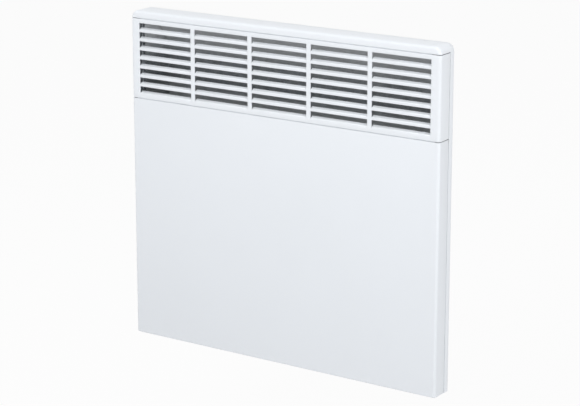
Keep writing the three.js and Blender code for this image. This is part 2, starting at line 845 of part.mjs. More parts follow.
// A bracket about the rod's axis; its foot is screwed to the tray from behind.
function elementBracket(side) {
  const near = elementBracketNear;
  const halfHeight = elementBracketHeight / 2;
  const footBackY = trayFrontFaceY - fitGap - elementY;
  const frontEdge = footBackY - elementBracketDepth;
  const heights = [-halfHeight, halfHeight];
  const plate = block(onSide(side, near, near + elementBracketSheet), [frontEdge, footBackY], heights);
  const foot = block(
    onSide(side, near, near + elementBracketSheet + elementFoot),
    [footBackY - elementBracketSheet, footBackY],
    heights,
  );
  const bore = disc(bushRadius + fitGap, [-2 * near, 2 * near], "x");
  return cut(plate.add(foot), [bore, screwHole([side * elementScrewX(), footBackY, 0], "y")]);
}

function elementBush(side) {
  const inner = rodRadius + fitGap;
  const plateFar = elementBracketNear + elementBracketSheet;
  const sleeveNear = plateFar - bushLength / 2;
  const flangeNear = plateFar + fitGap;
  const flangeFar = flangeNear + bushFlangeThickness;
  const sleeveFar = (flangeNear + flangeFar) / 2;
  const sleeve = ring(inner, bushRadius, onSide(side, sleeveNear, sleeveFar), "x");
  const flange = ring(inner, bushFlangeRadius, onSide(side, flangeNear, flangeFar), "x");
  return sleeve.add(flange);
}

function terminalInsulator(side) {
  const [from, to] = onSide(side, rodEnd + fitGap, rodEnd + fitGap + insulatorLength);
  const profile = [
    [0, from],
    [insulatorRadius, from],
    [insulatorWaist, (from + to) / 2],
    [insulatorRadius, to],
    [0, to],
  ];
  return turned(profile, "x");
}

function terminalTab(side) {
  const near = rodEnd + insulatorLength + 2 * fitGap;
  const halfThick = tabThickness / 2;
  const halfWide = tabWidth / 2;
  return block(onSide(side, near, near + tabLength), [-halfThick, halfThick], [-halfWide, halfWide]);
}

// ---- Cut-out and probe -------------------------------------------------------

function cutoutHolder() {
  const half = cutoutHolderWidth / 2;
  const span = [cutoutX - half, cutoutX + half];
  const footBackY = trayFrontFaceY - fitGap;
  const shelfTop = cutoutHeight + guideSheet;
  const footTop = cutoutHeight + cutoutHolderHeight;
  const foot = block(span, [footBackY - guideSheet, footBackY], [cutoutHeight, footTop]);
  const shelf = block(span, [footBackY - cutoutShelfDepth, footBackY], [cutoutHeight, shelfTop]);
  return cut(foot.add(shelf), [
    screwHole([cutoutX, footBackY, cutoutHeight + cutoutHolderHeight / 2], "y"),
  ]);
}

function thermalCutout() {
  const base = cutoutHeight + guideSheet + fitGap;
  const top = base + cutoutThickness;
  const tab = (side) => {
    const middle = side * cutoutTabSpacing;
    const wide = [middle - tabThickness / 2, middle + tabThickness / 2];
    return block(wide, [-tabWidth / 2, tabWidth / 2], [top - 1, top + tabLength]);
  };
  const shape = joined([disc(cutoutRadius, [base, top], "z"), tab(-0.5), tab(0.5)]);
  return shape.translate(cutoutX, cutoutY, 0);
}

function probeClip() {
  const footBackY = trayFrontFaceY - fitGap;
  const half = probeClipWidth / 2;
  const span = [probeX - half, probeX + half];
  const probeY = trayFrontFaceY - probeFromSheet;
  const halfHeight = probeClipHeight / 2;
  const footHeights = [probeHeight - halfHeight, probeHeight + halfHeight];
  const foot = block(span, [footBackY - probeClipSheet, footBackY], footHeights);
  const armTop = probeHeight - probeRadius - fitGap;
  const arm = block(span, [probeY, footBackY], [armTop - probeClipSheet, armTop]);
  return cut(foot.add(arm), [screwHole([probeX, footBackY, probeHeight], "y")]);
}

function temperatureProbe() {
  const half = probeLength / 2;
  const probe = disc(probeRadius, [-half, half], "x", 12);
  return probe.translate(probeX, trayFrontFaceY - probeFromSheet, probeHeight);
}

// ---- Control box -------------------------------------------------------------

// Where three leads leave the top of the control box, in x and y.
const leadHoles = {
  elementRight: [controlRight - 10, -leadHoleFromWall],
  elementLeft: [controlLeft + 12, -leadHoleFromWall],
  cutout: [controlRight - 22, -leadHoleFromWall],
};

function controlHousing() {
  const heights = [housingBottom, housingTop];
  const outer = block([controlLeft, controlRight], [controlFrontY, controlBackY], heights);
  const inner = block(
    [controlLeft + controlWall, controlRight - controlWall],
    [controlFrontY + controlWall, controlBackY - controlWall],
    [housingBottom - 1, housingTop - controlWall],
  );
  const posts = [];
  for (const x of [controlLeft + controlWall, controlRight - controlWall - boardPost]) {
    for (const y of [controlFrontY + controlWall, controlBackY - controlWall - boardPost]) {
      posts.push(block([x, x + boardPost], [y, y + boardPost], [boardTop + fitGap, housingTop - 1]));
    }
  }
  const through = [-controlWall, controlWall];
  const topHoles = Object.values(leadHoles).map(([x, y]) =>
    disc(leadRadius + fitGap, through, "z", 12).translate(x, y, housingTop - controlWall / 2),
  );
  const probeHole = disc(leadRadius + fitGap, through, "x", 12)
    .translate(controlLeft + controlWall / 2, -probeLeadFromWall, probeLeadHeight);
  const cordHole = disc(glandBoreRadius, through, "y", 12)
    .translate(glandX, controlBackY - controlWall / 2, glandHeight - boardThickness);
  return cut(joined([outer.subtract(inner), ...posts]), [...topHoles, probeHole, cordHole]);
}

function rockerOpening(play) {
  const halfX = rockerWidth / 2 + rockerWall + play;
  const halfY = rockerLength / 2 + rockerWall + play;
  return [[rockerX - halfX, rockerX + halfX], [controlRowY - halfY, controlRowY + halfY]];
}

function controlFascia() {
  const heights = [fasciaBottom, fasciaTop];
  const plate = block([controlLeft, controlRight], [floorFrontY, floorBackY], heights);
  const through = [fasciaBottom - 1, fasciaTop + 1];
  const [openX, openY] = rockerOpening(fitGap);
  const holes = bottomScrewXs.slice(2).map((x) => screwHole([x, bottomScrewY, 0], "z"));
  return cut(plate, [
    disc(shaftRadius + bossClearance, through, "z").translate(thermostatX, controlRowY, 0),
    disc(shaftRadius + bossClearance, through, "z").translate(modeX, controlRowY, 0),
    disc(lensRadius + fitGap, through, "z", 12).translate(lensX, controlRowY, 0),
    block(openX, openY, through),
    ...holes,
  ]);
}

// A fluted knob about its own axis, its top at zero, with a blind bore for the shaft.
function knob(radius, height) {
  const outline = new THREE.Shape();
  const steps = 2 * knobGripCount;
  for (let step = 0; step < steps; step++) {
    const angle = (step * 2 * Math.PI) / steps;
    const reach = step % 2 ? radius : radius - knobGripDepth;
    const draw = step === 0 ? "moveTo" : "lineTo";
    outline[draw](reach * Math.cos(angle), reach * Math.sin(angle));
  }
  const body = prismZ(outline, [-height, 0]);
  const pointer = block(
    [-pointerWidth / 2, pointerWidth / 2],
    [-radius + pointerWidth, -radius / 3],
    [-height - pointerRise, -height + 1],
  );
  const bore = disc(shaftRadius + fitGap, [-knobBoreDepth, 1], "z");
  return body.add(pointer).subtract(bore);
}

function controlShaft() {
  const bottom = fasciaBottom - knobBoreDepth;
  const top = boardHeight - controlWall;
  return disc(shaftRadius, [bottom, top], "z");
}

// A switch or regulator body under the board, bored for its shaft.
function underBoardBody(size, height) {
  const half = size / 2;
  const top = boardHeight - fitGap;
  const body = block([-half, half], [-half, half], [top - height, top]);
  return body.subtract(disc(shaftRadius + fitGap, [top - height - 1, top - 1 + fitGap], "z"));
}

function rockerHousing() {
  const bodyTop = fasciaTop + rockerBodyHeight;
  const [outX, outY] = rockerOpening(0);
  const [inX, inY] = rockerOpening(rockerPlay - rockerWall);
  const [rimX, rimY] = rockerOpening(rockerBezel);
  const bezelBottom = fasciaBottom - fitGap - rockerBezelThickness;
  const body = block(outX, outY, [bezelBottom, bodyTop]);
  const bezel = block(rimX, rimY, [bezelBottom, fasciaBottom - fitGap]);
  const well = block(inX, inY, [bezelBottom - 1, bodyTop - rockerWall]);
  return body.add(bezel).subtract(well);
}

// The rocker about its pivot: level along X, with two faces that meet in a shallow vee.
function rocker() {
  const half = rockerLength / 2;
  const tilt = THREE.MathUtils.degToRad(rockerTilt);
  const low = -rockerPivotHeight - rockerProud;
  const outline = polygon([
    [-half, low + half * Math.tan(tilt)],
    [0, low + half * Math.tan(tilt) + rockerProud / 2],
    [half, low + half * Math.tan(tilt)],
    [half, 0],
    [half / 3, rockerPivotHeight],
    [-half / 3, rockerPivotHeight],
    [-half, 0],
  ]);
  return prismX(outline, [-rockerWidth / 2, rockerWidth / 2]);
}

function indicatorLens() {
  const rimTop = fasciaBottom - fitGap;
  const rim = disc(lensRimRadius, [rimTop - 1, rimTop], "z", 12);
  return rim.add(disc(lensRadius, [rimTop - 0.5, rimTop + lensLength], "z", 12));
}

function controlBoard() {
  const margin = controlWall + boardGap;
  return block(
    [controlLeft + margin, controlRight - margin],
    [controlFrontY + margin, controlBackY - margin],
    [boardHeight, boardTop],
  );
}

function onBoard([wide, deep, high]) {
  const base = boardTop + fitGap;
  return block([-wide / 2, wide / 2], [-deep / 2, deep / 2], [base, base + high]);
}

function terminalBlock() {
  const body = onBoard(terminalBlockSize);
  const top = boardTop + fitGap + terminalBlockSize[2];
  const wells = [-1, 0, 1].map((step) =>
    disc(terminalScrewRadius, [top - 3, top + 1], "z", 10).translate(0, step * terminalScrewPitch, 0),
  );
  return cut(body, wells);
}

function boardCapacitor() {
  const base = boardTop + fitGap;
  return disc(capacitorRadius, [base, base + capacitorHeight], "z");
}

function cableGland() {
  const outerBack = trayBackY + fitGap + glandFlangeThickness;
  const innerFront = trayFrontFaceY - fitGap - glandFlangeThickness;
  const neck = ring(glandBoreRadius, glandNeckRadius, [innerFront, outerBack], "y");
  const outside = ring(glandBoreRadius, glandFlangeRadius, [trayBackY + fitGap, outerBack], "y");
  const inside = ring(
    glandBoreRadius,
    glandNeckRadius + 1,
    [innerFront, innerFront + glandFlangeThickness],
    "y",
  );
  return joined([neck, outside, inside]);
}

// ---- Leads and screws --------------------------------------------------------

function lead(points) {
  const path = new THREE.CatmullRomCurve3(points.map(([x, y, z]) => new THREE.Vector3(x, y, z)));
  const section = new THREE.Shape();
  for (let side = 0; side < leadSides; side++) {
    const angle = (side * 2 * Math.PI) / leadSides;
    const draw = side === 0 ? "moveTo" : "lineTo";
    section[draw](leadRadius * Math.cos(angle), leadRadius * Math.sin(angle));
  }
  const steps = Math.ceil(path.getLength() / leadStepLength);
  return solidOf(pushed(section, 1, { extrudePath: path, steps }));
}

const tabMiddleX = rodEnd + insulatorLength + 2 * fitGap + tabLength / 2;
const tabUnderside = elementHeight - tabWidth / 2 - fitGap;

// Straight up through a hole in the control box's top.
function outOfBox([x, y]) {
  return [[x, y, housingTop - 6], [x, y, housingTop + 2], [x, y, housingTop + 9]];
}

const leadRoutes = {
  lead_element_right: [
    ...outOfBox(leadHoles.elementRight),
    [controlRight - 4, -34, elementHeight - 44],
    [tabMiddleX + 2, elementY, tabUnderside - 14],
    [tabMiddleX, elementY, tabUnderside],
  ],
  lead_element_left: [
    ...outOfBox(leadHoles.elementLeft),
    [controlLeft - 16, -leadRunFromWall, housingTop + 46],
    [-controlLeft + 40, -leadRunFromWall + 2, housingTop + 54],
    [-controlRight + 30, -leadRunFromWall, housingTop + 56],
    [-tabMiddleX - 2, elementY, tabUnderside - 14],
    [-tabMiddleX, elementY, tabUnderside],
  ],
  lead_cutout: [
    ...outOfBox(leadHoles.cutout),
    [controlRight - 19, -leadRunFromWall, elementHeight],
    [cutoutX + 44, -leadRunFromWall, cutoutHeight - 10],
    [cutoutX + 24, cutoutY, cutoutHeight + 22],
    [cutoutX + cutoutTabSpacing / 2, cutoutY, cutoutHeight + cutoutThickness + tabLength + 4],
  ],
  lead_probe: [
    [controlLeft + 4, -probeLeadFromWall, probeLeadHeight],
    [controlLeft + 1, -probeLeadFromWall, probeLeadHeight],
    [controlLeft - 2, -probeLeadFromWall, probeLeadHeight],
    [controlLeft - 7, -probeLeadFromWall, probeHeight - 16],
    [probeX + probeLength / 2 + 8, trayFrontFaceY - probeFromSheet, probeHeight],
    [probeX + probeLength / 2 + fitGap, trayFrontFaceY - probeFromSheet, probeHeight],
  ],
};

// A pan-head screw whose head seats at zero, its shank along -Y.
function screwFromBehind() {
  const head = disc(screwHeadRadius, [fitGap, fitGap + screwHeadHeight], "y", 12);
  return head.add(disc(screwRadius, [-screwLength, fitGap + 1], "y", 10));
}

// The same screw from below, its shank along +Z.
function screwFromBelow() {
  const head = disc(screwHeadRadius, [-fitGap - screwHeadHeight, -fitGap], "z", 12);
  return head.add(disc(screwRadius, [-fitGap - 1, screwLength], "z", 10));
}

// ---- Assembly ----------------------------------------------------------------

function addMesh(group, name, solid, finish, place = [0, 0, 0]) {
  const mesh = new THREE.Mesh(geometryOf(solid), new THREE.MeshStandardMaterial(finish));
  mesh.name = name;
  mesh.position.set(...place);
  group.add(mesh);
  return mesh;
}

const sides = [["left", -1], ["right", 1]];

function bracketGroup() {
  const group = new THREE.Group();
  addMesh(group, "wall_bracket", wallBracket(), finishes.galvanised);
  for (const [name, side] of sides) {
    const place = [side * latchX, 0, -latchDistance];
    addMesh(group, `latch_${name}`, latch(), finishes.blackPlastic, place);
  }
  return group;
}

function casingGroup() {
  const group = new THREE.Group();
  addMesh(group, "front_panel", frontPanel(), finishes.whitePaint);
  addMesh(group, "outlet_grille", outletGrille(), finishes.whitePaint);
  addMesh(group, "casing_frame", casingFrame(), finishes.whitePaint);
  addMesh(group, "rear_tray", rearTray(), finishes.galvanised);
  addMesh(group, "inlet_guard", inletGuard(), finishes.galvanised);
  trayScrewPlaces().forEach(([x, height], index) => {
    const place = [x, casingBackY, height];
    addMesh(group, `tray_screw_${index + 1}`, screwFromBehind(), finishes.steel, place);
  });
  bottomScrewXs.forEach((x, index) => {
    const place = [x, bottomScrewY, 0];
    addMesh(group, `bottom_screw_${index + 1}`, screwFromBelow(), finishes.steel, place);
  });
  return group;
}

function airGuideGroup() {
  const group = new THREE.Group();
  addMesh(group, "heat_deflector", heatDeflector(), finishes.galvanised);
  addMesh(group, "heat_shield", heatShield(), finishes.aluminium);
  for (const [name, side] of sides) {
    addMesh(group, `deflector_cheek_${name}`, deflectorCheek(side), finishes.galvanised);
  }
  return group;
}

function elementGroup() {
  const group = new THREE.Group();
  group.position.set(0, elementY, elementHeight);
  addMesh(group, "heating_element", heatingElement(), finishes.aluminium);
  addMesh(group, "element_rod", disc(rodRadius, [-rodEnd, rodEnd], "x", 12), finishes.steel);
  for (const [name, side] of sides) {
    addMesh(group, `element_bracket_${name}`, elementBracket(side), finishes.galvanised);
    addMesh(group, `element_bush_${name}`, elementBush(side), finishes.ceramic);
    addMesh(group, `terminal_insulator_${name}`, terminalInsulator(side), finishes.ceramic);
    addMesh(group, `terminal_tab_${name}`, terminalTab(side), finishes.brass);
    const screwPlace = [side * elementScrewX(), trayBackY - elementY, 0];
    addMesh(group, `element_screw_${name}`, screwFromBehind(), finishes.steel, screwPlace);
  }
  return group;
}

function sensorGroup() {
  const group = new THREE.Group();
  addMesh(group, "cutout_holder", cutoutHolder(), finishes.galvanised);
  addMesh(group, "thermal_cutout", thermalCutout(), finishes.blackPlastic);
  addMesh(group, "probe_clip", probeClip(), finishes.whitePlastic);
  addMesh(group, "temperature_probe", temperatureProbe(), finishes.brass);
  const cutoutScrewPlace = [cutoutX, trayBackY, cutoutHeight + cutoutHolderHeight / 2];
  const probeScrewPlace = [probeX, trayBackY, probeHeight];
  addMesh(group, "cutout_screw", screwFromBehind(), finishes.steel, cutoutScrewPlace);
  addMesh(group, "probe_screw", screwFromBehind(), finishes.steel, probeScrewPlace);
  return group;
}

function controlGroup() {
  const group = new THREE.Group();
  const knobTop = fasciaBottom - fitGap;
  const row = (x, z = 0) => [x, controlRowY, z];
  addMesh(group, "control_housing", controlHousing(), finishes.greyPlastic);
  addMesh(group, "control_fascia", controlFascia(), finishes.whitePlastic);
  const thermostatKnob = knob(thermostatKnobRadius, thermostatKnobHeight);
  const modeKnob = knob(modeKnobRadius, modeKnobHeight);
  addMesh(group, "thermostat_knob", thermostatKnob, finishes.greyPlastic, row(thermostatX, knobTop));
  addMesh(group, "mode_knob", modeKnob, finishes.greyPlastic, row(modeX, knobTop));
  addMesh(group, "thermostat_shaft", controlShaft(), finishes.steel, row(thermostatX));
  addMesh(group, "mode_shaft", controlShaft(), finishes.steel, row(modeX));
  const regulator = underBoardBody(thermostatBodySize, thermostatBodyHeight);
  const modeSwitch = underBoardBody(modeBodySize, modeBodyHeight);
  addMesh(group, "thermostat_regulator", regulator, finishes.blackPlastic, row(thermostatX));
  addMesh(group, "mode_switch", modeSwitch, finishes.blackPlastic, row(modeX));
  addMesh(group, "rocker_housing", rockerHousing(), finishes.blackPlastic);
  const rockerPlace = row(rockerX, fasciaTop + fitGap);
  const switchedOff = addMesh(group, "power_rocker", rocker(), finishes.blackPlastic, rockerPlace);
  switchedOff.rotation.x = THREE.MathUtils.degToRad(-rockerTilt);
  addMesh(group, "indicator_lens", indicatorLens(), finishes.amberLens, row(lensX));
  addMesh(group, "control_board", controlBoard(), finishes.board);
  addMesh(group, "relay", onBoard(relaySize), finishes.blackPlastic, row(relayX));
  addMesh(group, "board_capacitor", boardCapacitor(), finishes.blackPlastic, row(capacitorX));
  addMesh(group, "terminal_block", terminalBlock(), finishes.whitePlastic, row(terminalBlockX));
  addMesh(group, "cable_gland", cableGland(), finishes.rubber, [glandX, 0, glandHeight]);
  return group;
}

function leadGroup() {
  const group = new THREE.Group();
  const colours = {
    lead_element_right: finishes.brownLead,
    lead_element_left: finishes.blueLead,
    lead_cutout: finishes.brownLead,
    lead_probe: finishes.whiteLead,
  };
  for (const [name, route] of Object.entries(leadRoutes)) {
    addMesh(group, name, lead(route), colours[name]);
  }
  return group;
}

const heater = new THREE.Group();
heater.position.z = -mountHeight;
heater.add(casingGroup(), airGuideGroup(), elementGroup(), sensorGroup(), controlGroup(), leadGroup());

const convector = new THREE.Group();
convector.add(bracketGroup(), heater);

export default convector;
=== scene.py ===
"""White wall panel convector heater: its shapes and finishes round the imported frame.

Sizes are millimetres in the row frame: +Z up, +X to the right as seen from the room,
+Y into the wall, with the origin on the wall behind the bracket's upper rail.
"""

import logging
import math
from collections.abc import Callable, Iterator, Sequence
from contextlib import contextmanager
from dataclasses import dataclass
from enum import Enum

import bmesh
import bpy
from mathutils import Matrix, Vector


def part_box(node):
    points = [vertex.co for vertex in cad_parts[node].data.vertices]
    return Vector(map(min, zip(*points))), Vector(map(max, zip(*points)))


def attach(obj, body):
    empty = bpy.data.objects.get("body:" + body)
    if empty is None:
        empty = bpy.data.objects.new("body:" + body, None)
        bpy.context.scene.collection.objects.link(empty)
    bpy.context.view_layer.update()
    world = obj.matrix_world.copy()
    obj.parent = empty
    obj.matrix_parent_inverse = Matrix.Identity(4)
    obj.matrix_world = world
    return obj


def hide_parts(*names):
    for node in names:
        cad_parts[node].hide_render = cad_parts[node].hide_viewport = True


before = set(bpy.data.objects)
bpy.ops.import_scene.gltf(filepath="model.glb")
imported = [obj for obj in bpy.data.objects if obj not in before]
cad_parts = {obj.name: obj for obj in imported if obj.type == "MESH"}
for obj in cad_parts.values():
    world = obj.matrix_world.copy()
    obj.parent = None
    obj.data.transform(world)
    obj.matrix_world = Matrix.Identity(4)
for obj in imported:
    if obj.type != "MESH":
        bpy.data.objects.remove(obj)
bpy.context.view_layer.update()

log = logging.getLogger("convector")

MM = 0.001
COPLANAR = math.radians(0.6)  # faces that meet flatter than this are one flat face
Point = tuple[float, float, float]
Spot = tuple[float, float]
Span = tuple[float, float]
Piece = bpy.types.Object
Edge = bmesh.types.BMEdge
Face = bmesh.types.BMFace
Element = bmesh.types.BMVert | Edge | Face
Test = Callable[[Vector, Element], bool]  # takes an element's middle in millimetres and the element
Tree = bpy.types.NodeTree
Socket = bpy.types.NodeSocket


class Body(Enum):
    """The moving bodies that pieces ride on."""

    BRACKET = "bracket"
    HEATER = "heater"
    LEFT_LATCH = "left_latch"
    RIGHT_LATCH = "right_latch"
    THERMOSTAT = "thermostat"
    MODE = "mode_selector"
    ROCKER = "on_off_rocker"


class Slot(Enum):
    """The record's material slots."""

    WHITE_PAINT = "white_paint"
    GALVANISED = "galvanised"
    ALUMINIUM = "aluminium"
    STEEL = "steel"
    CERAMIC = "ceramic"
    BRASS = "brass"
    WHITE_PLASTIC = "white_plastic"
    GREY_PLASTIC = "grey_plastic"
    BLACK_PLASTIC = "black_plastic"
    AMBER_LENS = "amber_lens"
    CIRCUIT_BOARD = "circuit_board"
    BROWN_LEAD = "brown_lead"
    BLUE_LEAD = "blue_lead"
    WHITE_LEAD = "white_lead"
    BLACK_RUBBER = "black_rubber"


class Kind(Enum):
    """The edit-mode element that a selection is made of."""

    VERTS = "VERT"
    EDGES = "EDGE"
    FACES = "FACE"


# ---- Modelling steps ---------------------------------------------------------


def metres(point: Sequence[float]) -> Vector:
    """Turns a point in millimetres into metres."""
    return Vector(point) * MM


def only(piece: Piece) -> None:
    """Selects one piece and nothing else."""
    bpy.ops.object.select_all(action="DESELECT")
    piece.select_set(True)
    bpy.context.view_layer.objects.active = piece


def settle(piece: Piece, name: str) -> Piece:
    """Names a new piece and puts its place and turn into its mesh.

    Args:
        piece: The piece as it was added.
        name: Its name.

    Returns:
        The same piece, at the origin.
    """
    only(piece)
    bpy.ops.object.transform_apply(location=True, rotation=True, scale=True)
    piece.name = name
    piece.data.name = name
    return piece


def block(name: str, x: Span, y: Span, z: Span) -> Piece:
    """Adds a block between two distances on each axis, in millimetres."""
    bpy.ops.object.select_all(action="DESELECT")
    centre = metres([sum(span) / 2 for span in (x, y, z)])
    bpy.ops.mesh.primitive_cube_add(size=1, location=centre)
    bpy.context.object.scale = metres([high - low for low, high in (x, y, z)])
    return settle(bpy.context.object, name)


def drum(name: str, radius: float, low: Point, length: float, axis: str = "z", sides: int = 48) -> Piece:
    """Adds a cylinder that starts at a point and runs along an axis.

    Args:
        name: The piece's name.
        radius: Its radius in millimetres.
        low: The middle of its lower end.
        length: Its length along the axis.
        axis: "x", "y" or "z".
        sides: How many flat sides it has.

    Returns:
        The cylinder.
    """
    bpy.ops.object.select_all(action="DESELECT")
    step = {"x": (length, 0, 0), "y": (0, length, 0), "z": (0, 0, length)}[axis]
    turn = {"x": (0, math.pi / 2, 0), "y": (-math.pi / 2, 0, 0), "z": (0, 0, 0)}[axis]
    bpy.ops.mesh.primitive_cylinder_add(
        vertices=sides,
        radius=radius * MM,
        depth=length * MM,
        location=metres(low) + metres(step) / 2,
        rotation=turn,
    )
    return settle(bpy.context.object, name)


@contextmanager
def editing(piece: Piece, kind: Kind) -> Iterator[None]:
    """Opens a piece in edit mode with nothing selected, and closes it again."""
    only(piece)
    bpy.ops.object.mode_set(mode="EDIT")
    bpy.ops.mesh.select_mode(type=kind.value)
    bpy.ops.mesh.select_all(action="DESELECT")
    yield
    bpy.ops.object.mode_set(mode="OBJECT")


def middle_of(element: Element) -> Vector:
    """Gives the middle of a vertex, edge or face, in millimetres."""
    if isinstance(element, bmesh.types.BMVert):
        return element.co / MM
    corners = [vert.co for vert in element.verts]
    return sum(corners, Vector()) / len(corners) / MM


def pick(piece: Piece, kind: Kind, wanted: Test) -> int:
    """Selects, of the piece open in edit mode, what a test accepts.

    Args:
        piece: The piece in edit mode.
        kind: What is picked.
        wanted: The test.

    Returns:
        How many were picked.
    """
    bpy.ops.mesh.select_all(action="DESELECT")
    mesh = bmesh.from_edit_mesh(piece.data)
    elements = {Kind.VERTS: mesh.verts, Kind.EDGES: mesh.edges, Kind.FACES: mesh.faces}[kind]
    chosen = [element for element in elements if wanted(middle_of(element), element)]
    for element in chosen:
        element.select_set(True)
    bmesh.update_edit_mesh(piece.data)
    return len(chosen)


def remove_faces(piece: Piece, wanted: Test) -> None:
    """Deletes the faces that a test accepts, of a piece in edit mode."""
    if pick(piece, Kind.FACES, wanted):
        bpy.ops.mesh.delete(type="FACE")


def slice_at(axis: int, places: Sequence[float]) -> None:
    """Cuts the whole of the piece in edit mode across an axis at each place."""
    normal = [float(index == axis) for index in range(3)]
    for place in places:
        bpy.ops.mesh.select_all(action="SELECT")
        bpy.ops.mesh.bisect(plane_co=[value * place * MM for value in normal], plane_no=normal)


def bevel_edges(piece: Piece, wanted: Test, radius: float, segments: int) -> None:
    """Rounds the edges that a test accepts, of a piece in edit mode."""
    if pick(piece, Kind.EDGES, wanted):
        bpy.ops.mesh.bevel(offset=radius * MM, segments=segments, profile=0.5, affect="EDGES")


def clear_corner(piece: Piece, cuts: Sequence[tuple[int, float]], beside: Test) -> None:
    """Clears the faces beside a fold of leftover diagonals, which would squash its curve.

    Args:
        piece: The piece, closed to editing.
        cuts: The axis and place of each cut that parts the corner's faces from the rest.
        beside: Accepts the faces beside the fold.
    """
    with editing(piece, Kind.FACES):
        for axis, place in cuts:
            slice_at(axis, [place])
        pick(piece, Kind.FACES, beside)
        bpy.ops.mesh.dissolve_limited(angle_limit=COPLANAR)


def push(step: Point) -> None:
    """Extrudes what is selected by a step in millimetres."""
    bpy.ops.mesh.extrude_region_move(TRANSFORM_OT_translate={"value": metres(step)})


def along(edge: Edge, axis: int) -> bool:
    """Says whether an edge runs along an axis."""
    run = (edge.verts[1].co - edge.verts[0].co).normalized()
    return abs(run[axis]) > 0.999


def near(value: float, place: float, slack: float = 0.1) -> bool:
    """Says whether a distance in millimetres lies at a place, give or take the slack."""
    return abs(value - place) < slack


def sided(side: int, inner: float, outer: float) -> Span:
    """Gives the span between two distances from the middle, on the side -1 or 1 of it."""
    low, high = sorted((side * inner, side * outer))
    return (low, high)


def modify(piece: Piece, kind: str, **settings: object) -> None:
    """Adds a modifier with its settings and applies it."""
    only(piece)
    modifier = piece.modifiers.new(kind.title(), kind)
    for name, value in settings.items():
        setattr(modifier, name, value)
    bpy.ops.object.modifier_apply(modifier=modifier.name)


def soften(piece: Piece, radius: float, segments: int = 2, angle: float = 40) -> None:
    """Rounds every sharp edge of a piece by a small radius in millimetres."""
    modify(
        piece,
        "BEVEL",
        width=radius * MM,
        segments=segments,
        limit_method="ANGLE",
        angle_limit=math.radians(angle),
        use_clamp_overlap=True,
    )


def smooth(piece: Piece, angle: float = 35) -> None:
    """Shades a piece smooth except across edges sharper than an angle."""
    only(piece)
    bpy.ops.object.shade_smooth_by_angle(angle=math.radians(angle))


def weld(pieces: Sequence[Piece], name: str) -> Piece:
    """Joins pieces into one and names it."""
    bpy.ops.object.select_all(action="DESELECT")
    for piece in pieces:
        piece.select_set(True)
    bpy.context.view_layer.objects.active = pieces[0]
    bpy.ops.object.join()
    joined = bpy.context.view_layer.objects.active
    joined.name = name
    joined.data.name = name
    return joined


def subtract(piece: Piece, tool: Piece) -> None:
    """Cuts a tool's shape out of a piece and removes the tool."""
    modify(piece, "BOOLEAN", object=tool, operation="DIFFERENCE", solver="EXACT")
    bpy.data.objects.remove(tool)


def copied(node: str, name: str) -> Piece:
    """Copies a CAD node and merges its triangles into whole faces.

    Args:
        node: The CAD node.
        name: The new piece's name.

    Returns:
        The copy, its edges still sharp.
    """
    copy = bpy.data.objects.new(name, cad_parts[node].data.copy())
    copy.data.name = name
    copy.data.materials.clear()
    bpy.context.scene.collection.objects.link(copy)
    with editing(copy, Kind.VERTS):
        bpy.ops.mesh.select_all(action="SELECT")
        bpy.ops.mesh.remove_doubles(threshold=0.01 * MM)
        bpy.ops.mesh.dissolve_limited(angle_limit=COPLANAR)
    return copy


def traced(node: str, name: str, radius: float, segments: int = 2, angle: float = 40) -> Piece:
    """Copies a CAD node and rounds its edges.

    Args:
        node: The CAD node.
        name: The new piece's name.
        radius: The edge radius in millimetres.
        segments: How many faces round each edge.
        angle: Edges flatter than this stay as they are.

    Returns:
        The rounded copy.
    """
    copy = copied(node, name)
    soften(copy, radius, segments, angle)
    smooth(copy)
    return copy


def swept(name: str, profile: Sequence[Spot], x: Span, sheet: float) -> Piece:
    """Folds a sheet along a profile in y and z, and runs it along X.

    Args:
        name: The piece's name.
        profile: Points [y, z] of the sheet's outer face, in order.
        x: Where the sheet starts and ends along X.
        sheet: Its thickness; a negative one goes to the other side.

    Returns:
        The folded sheet.
    """
    bpy.ops.object.select_all(action="DESELECT")
    bpy.ops.mesh.primitive_plane_add(size=1)
    piece = bpy.context.object
    with editing(piece, Kind.VERTS):
        pick(piece, Kind.VERTS, lambda at, vert: vert.index > 0)
        bpy.ops.mesh.delete(type="VERT")
        mesh = bmesh.from_edit_mesh(piece.data)
        mesh.verts.ensure_lookup_table()
        mesh.verts[0].co = metres((x[0], *profile[0]))
        bmesh.update_edit_mesh(piece.data)
        bpy.ops.mesh.select_all(action="SELECT")
        for (y0, z0), (y1, z1) in zip(profile, profile[1:]):
            push((0, y1 - y0, z1 - z0))
        bpy.ops.mesh.select_all(action="SELECT")
        push((x[1] - x[0], 0, 0))
    settle(piece, name)
    modify(piece, "SOLIDIFY", thickness=sheet * MM, offset=-1)
    with editing(piece, Kind.FACES):
        bpy.ops.mesh.select_all(action="SELECT")
        bpy.ops.mesh.normals_make_consistent(inside=False)
    return piece


def arc(centre: Spot, radius: float, start: float, end: float, steps: int) -> list[Spot]:
    """Gives points on an arc.

    Args:
        centre: Its centre.
        radius: Its radius.
        start: The first point's angle in degrees.
        end: The last point's angle in degrees.
        steps: How many straight stretches it has.

    Returns:
        The points in order.
    """
    angles = [math.radians(start + (end - start) * step / steps) for step in range(steps + 1)]
    return [(centre[0] + radius * math.cos(a), centre[1] + radius * math.sin(a)) for a in angles]


# ---- Finishes ----------------------------------------------------------------


def linear(colour: str) -> tuple[float, float, float, float]:
    """Turns an sRGB hex colour into the linear colour that a shader takes."""
    parts = [int(colour[start : start + 2], 16) / 255 for start in (1, 3, 5)]
    curve = [part / 12.92 if part <= 0.04045 else ((part + 0.055) / 1.055) ** 2.4 for part in parts]
    return (*curve, 1.0)


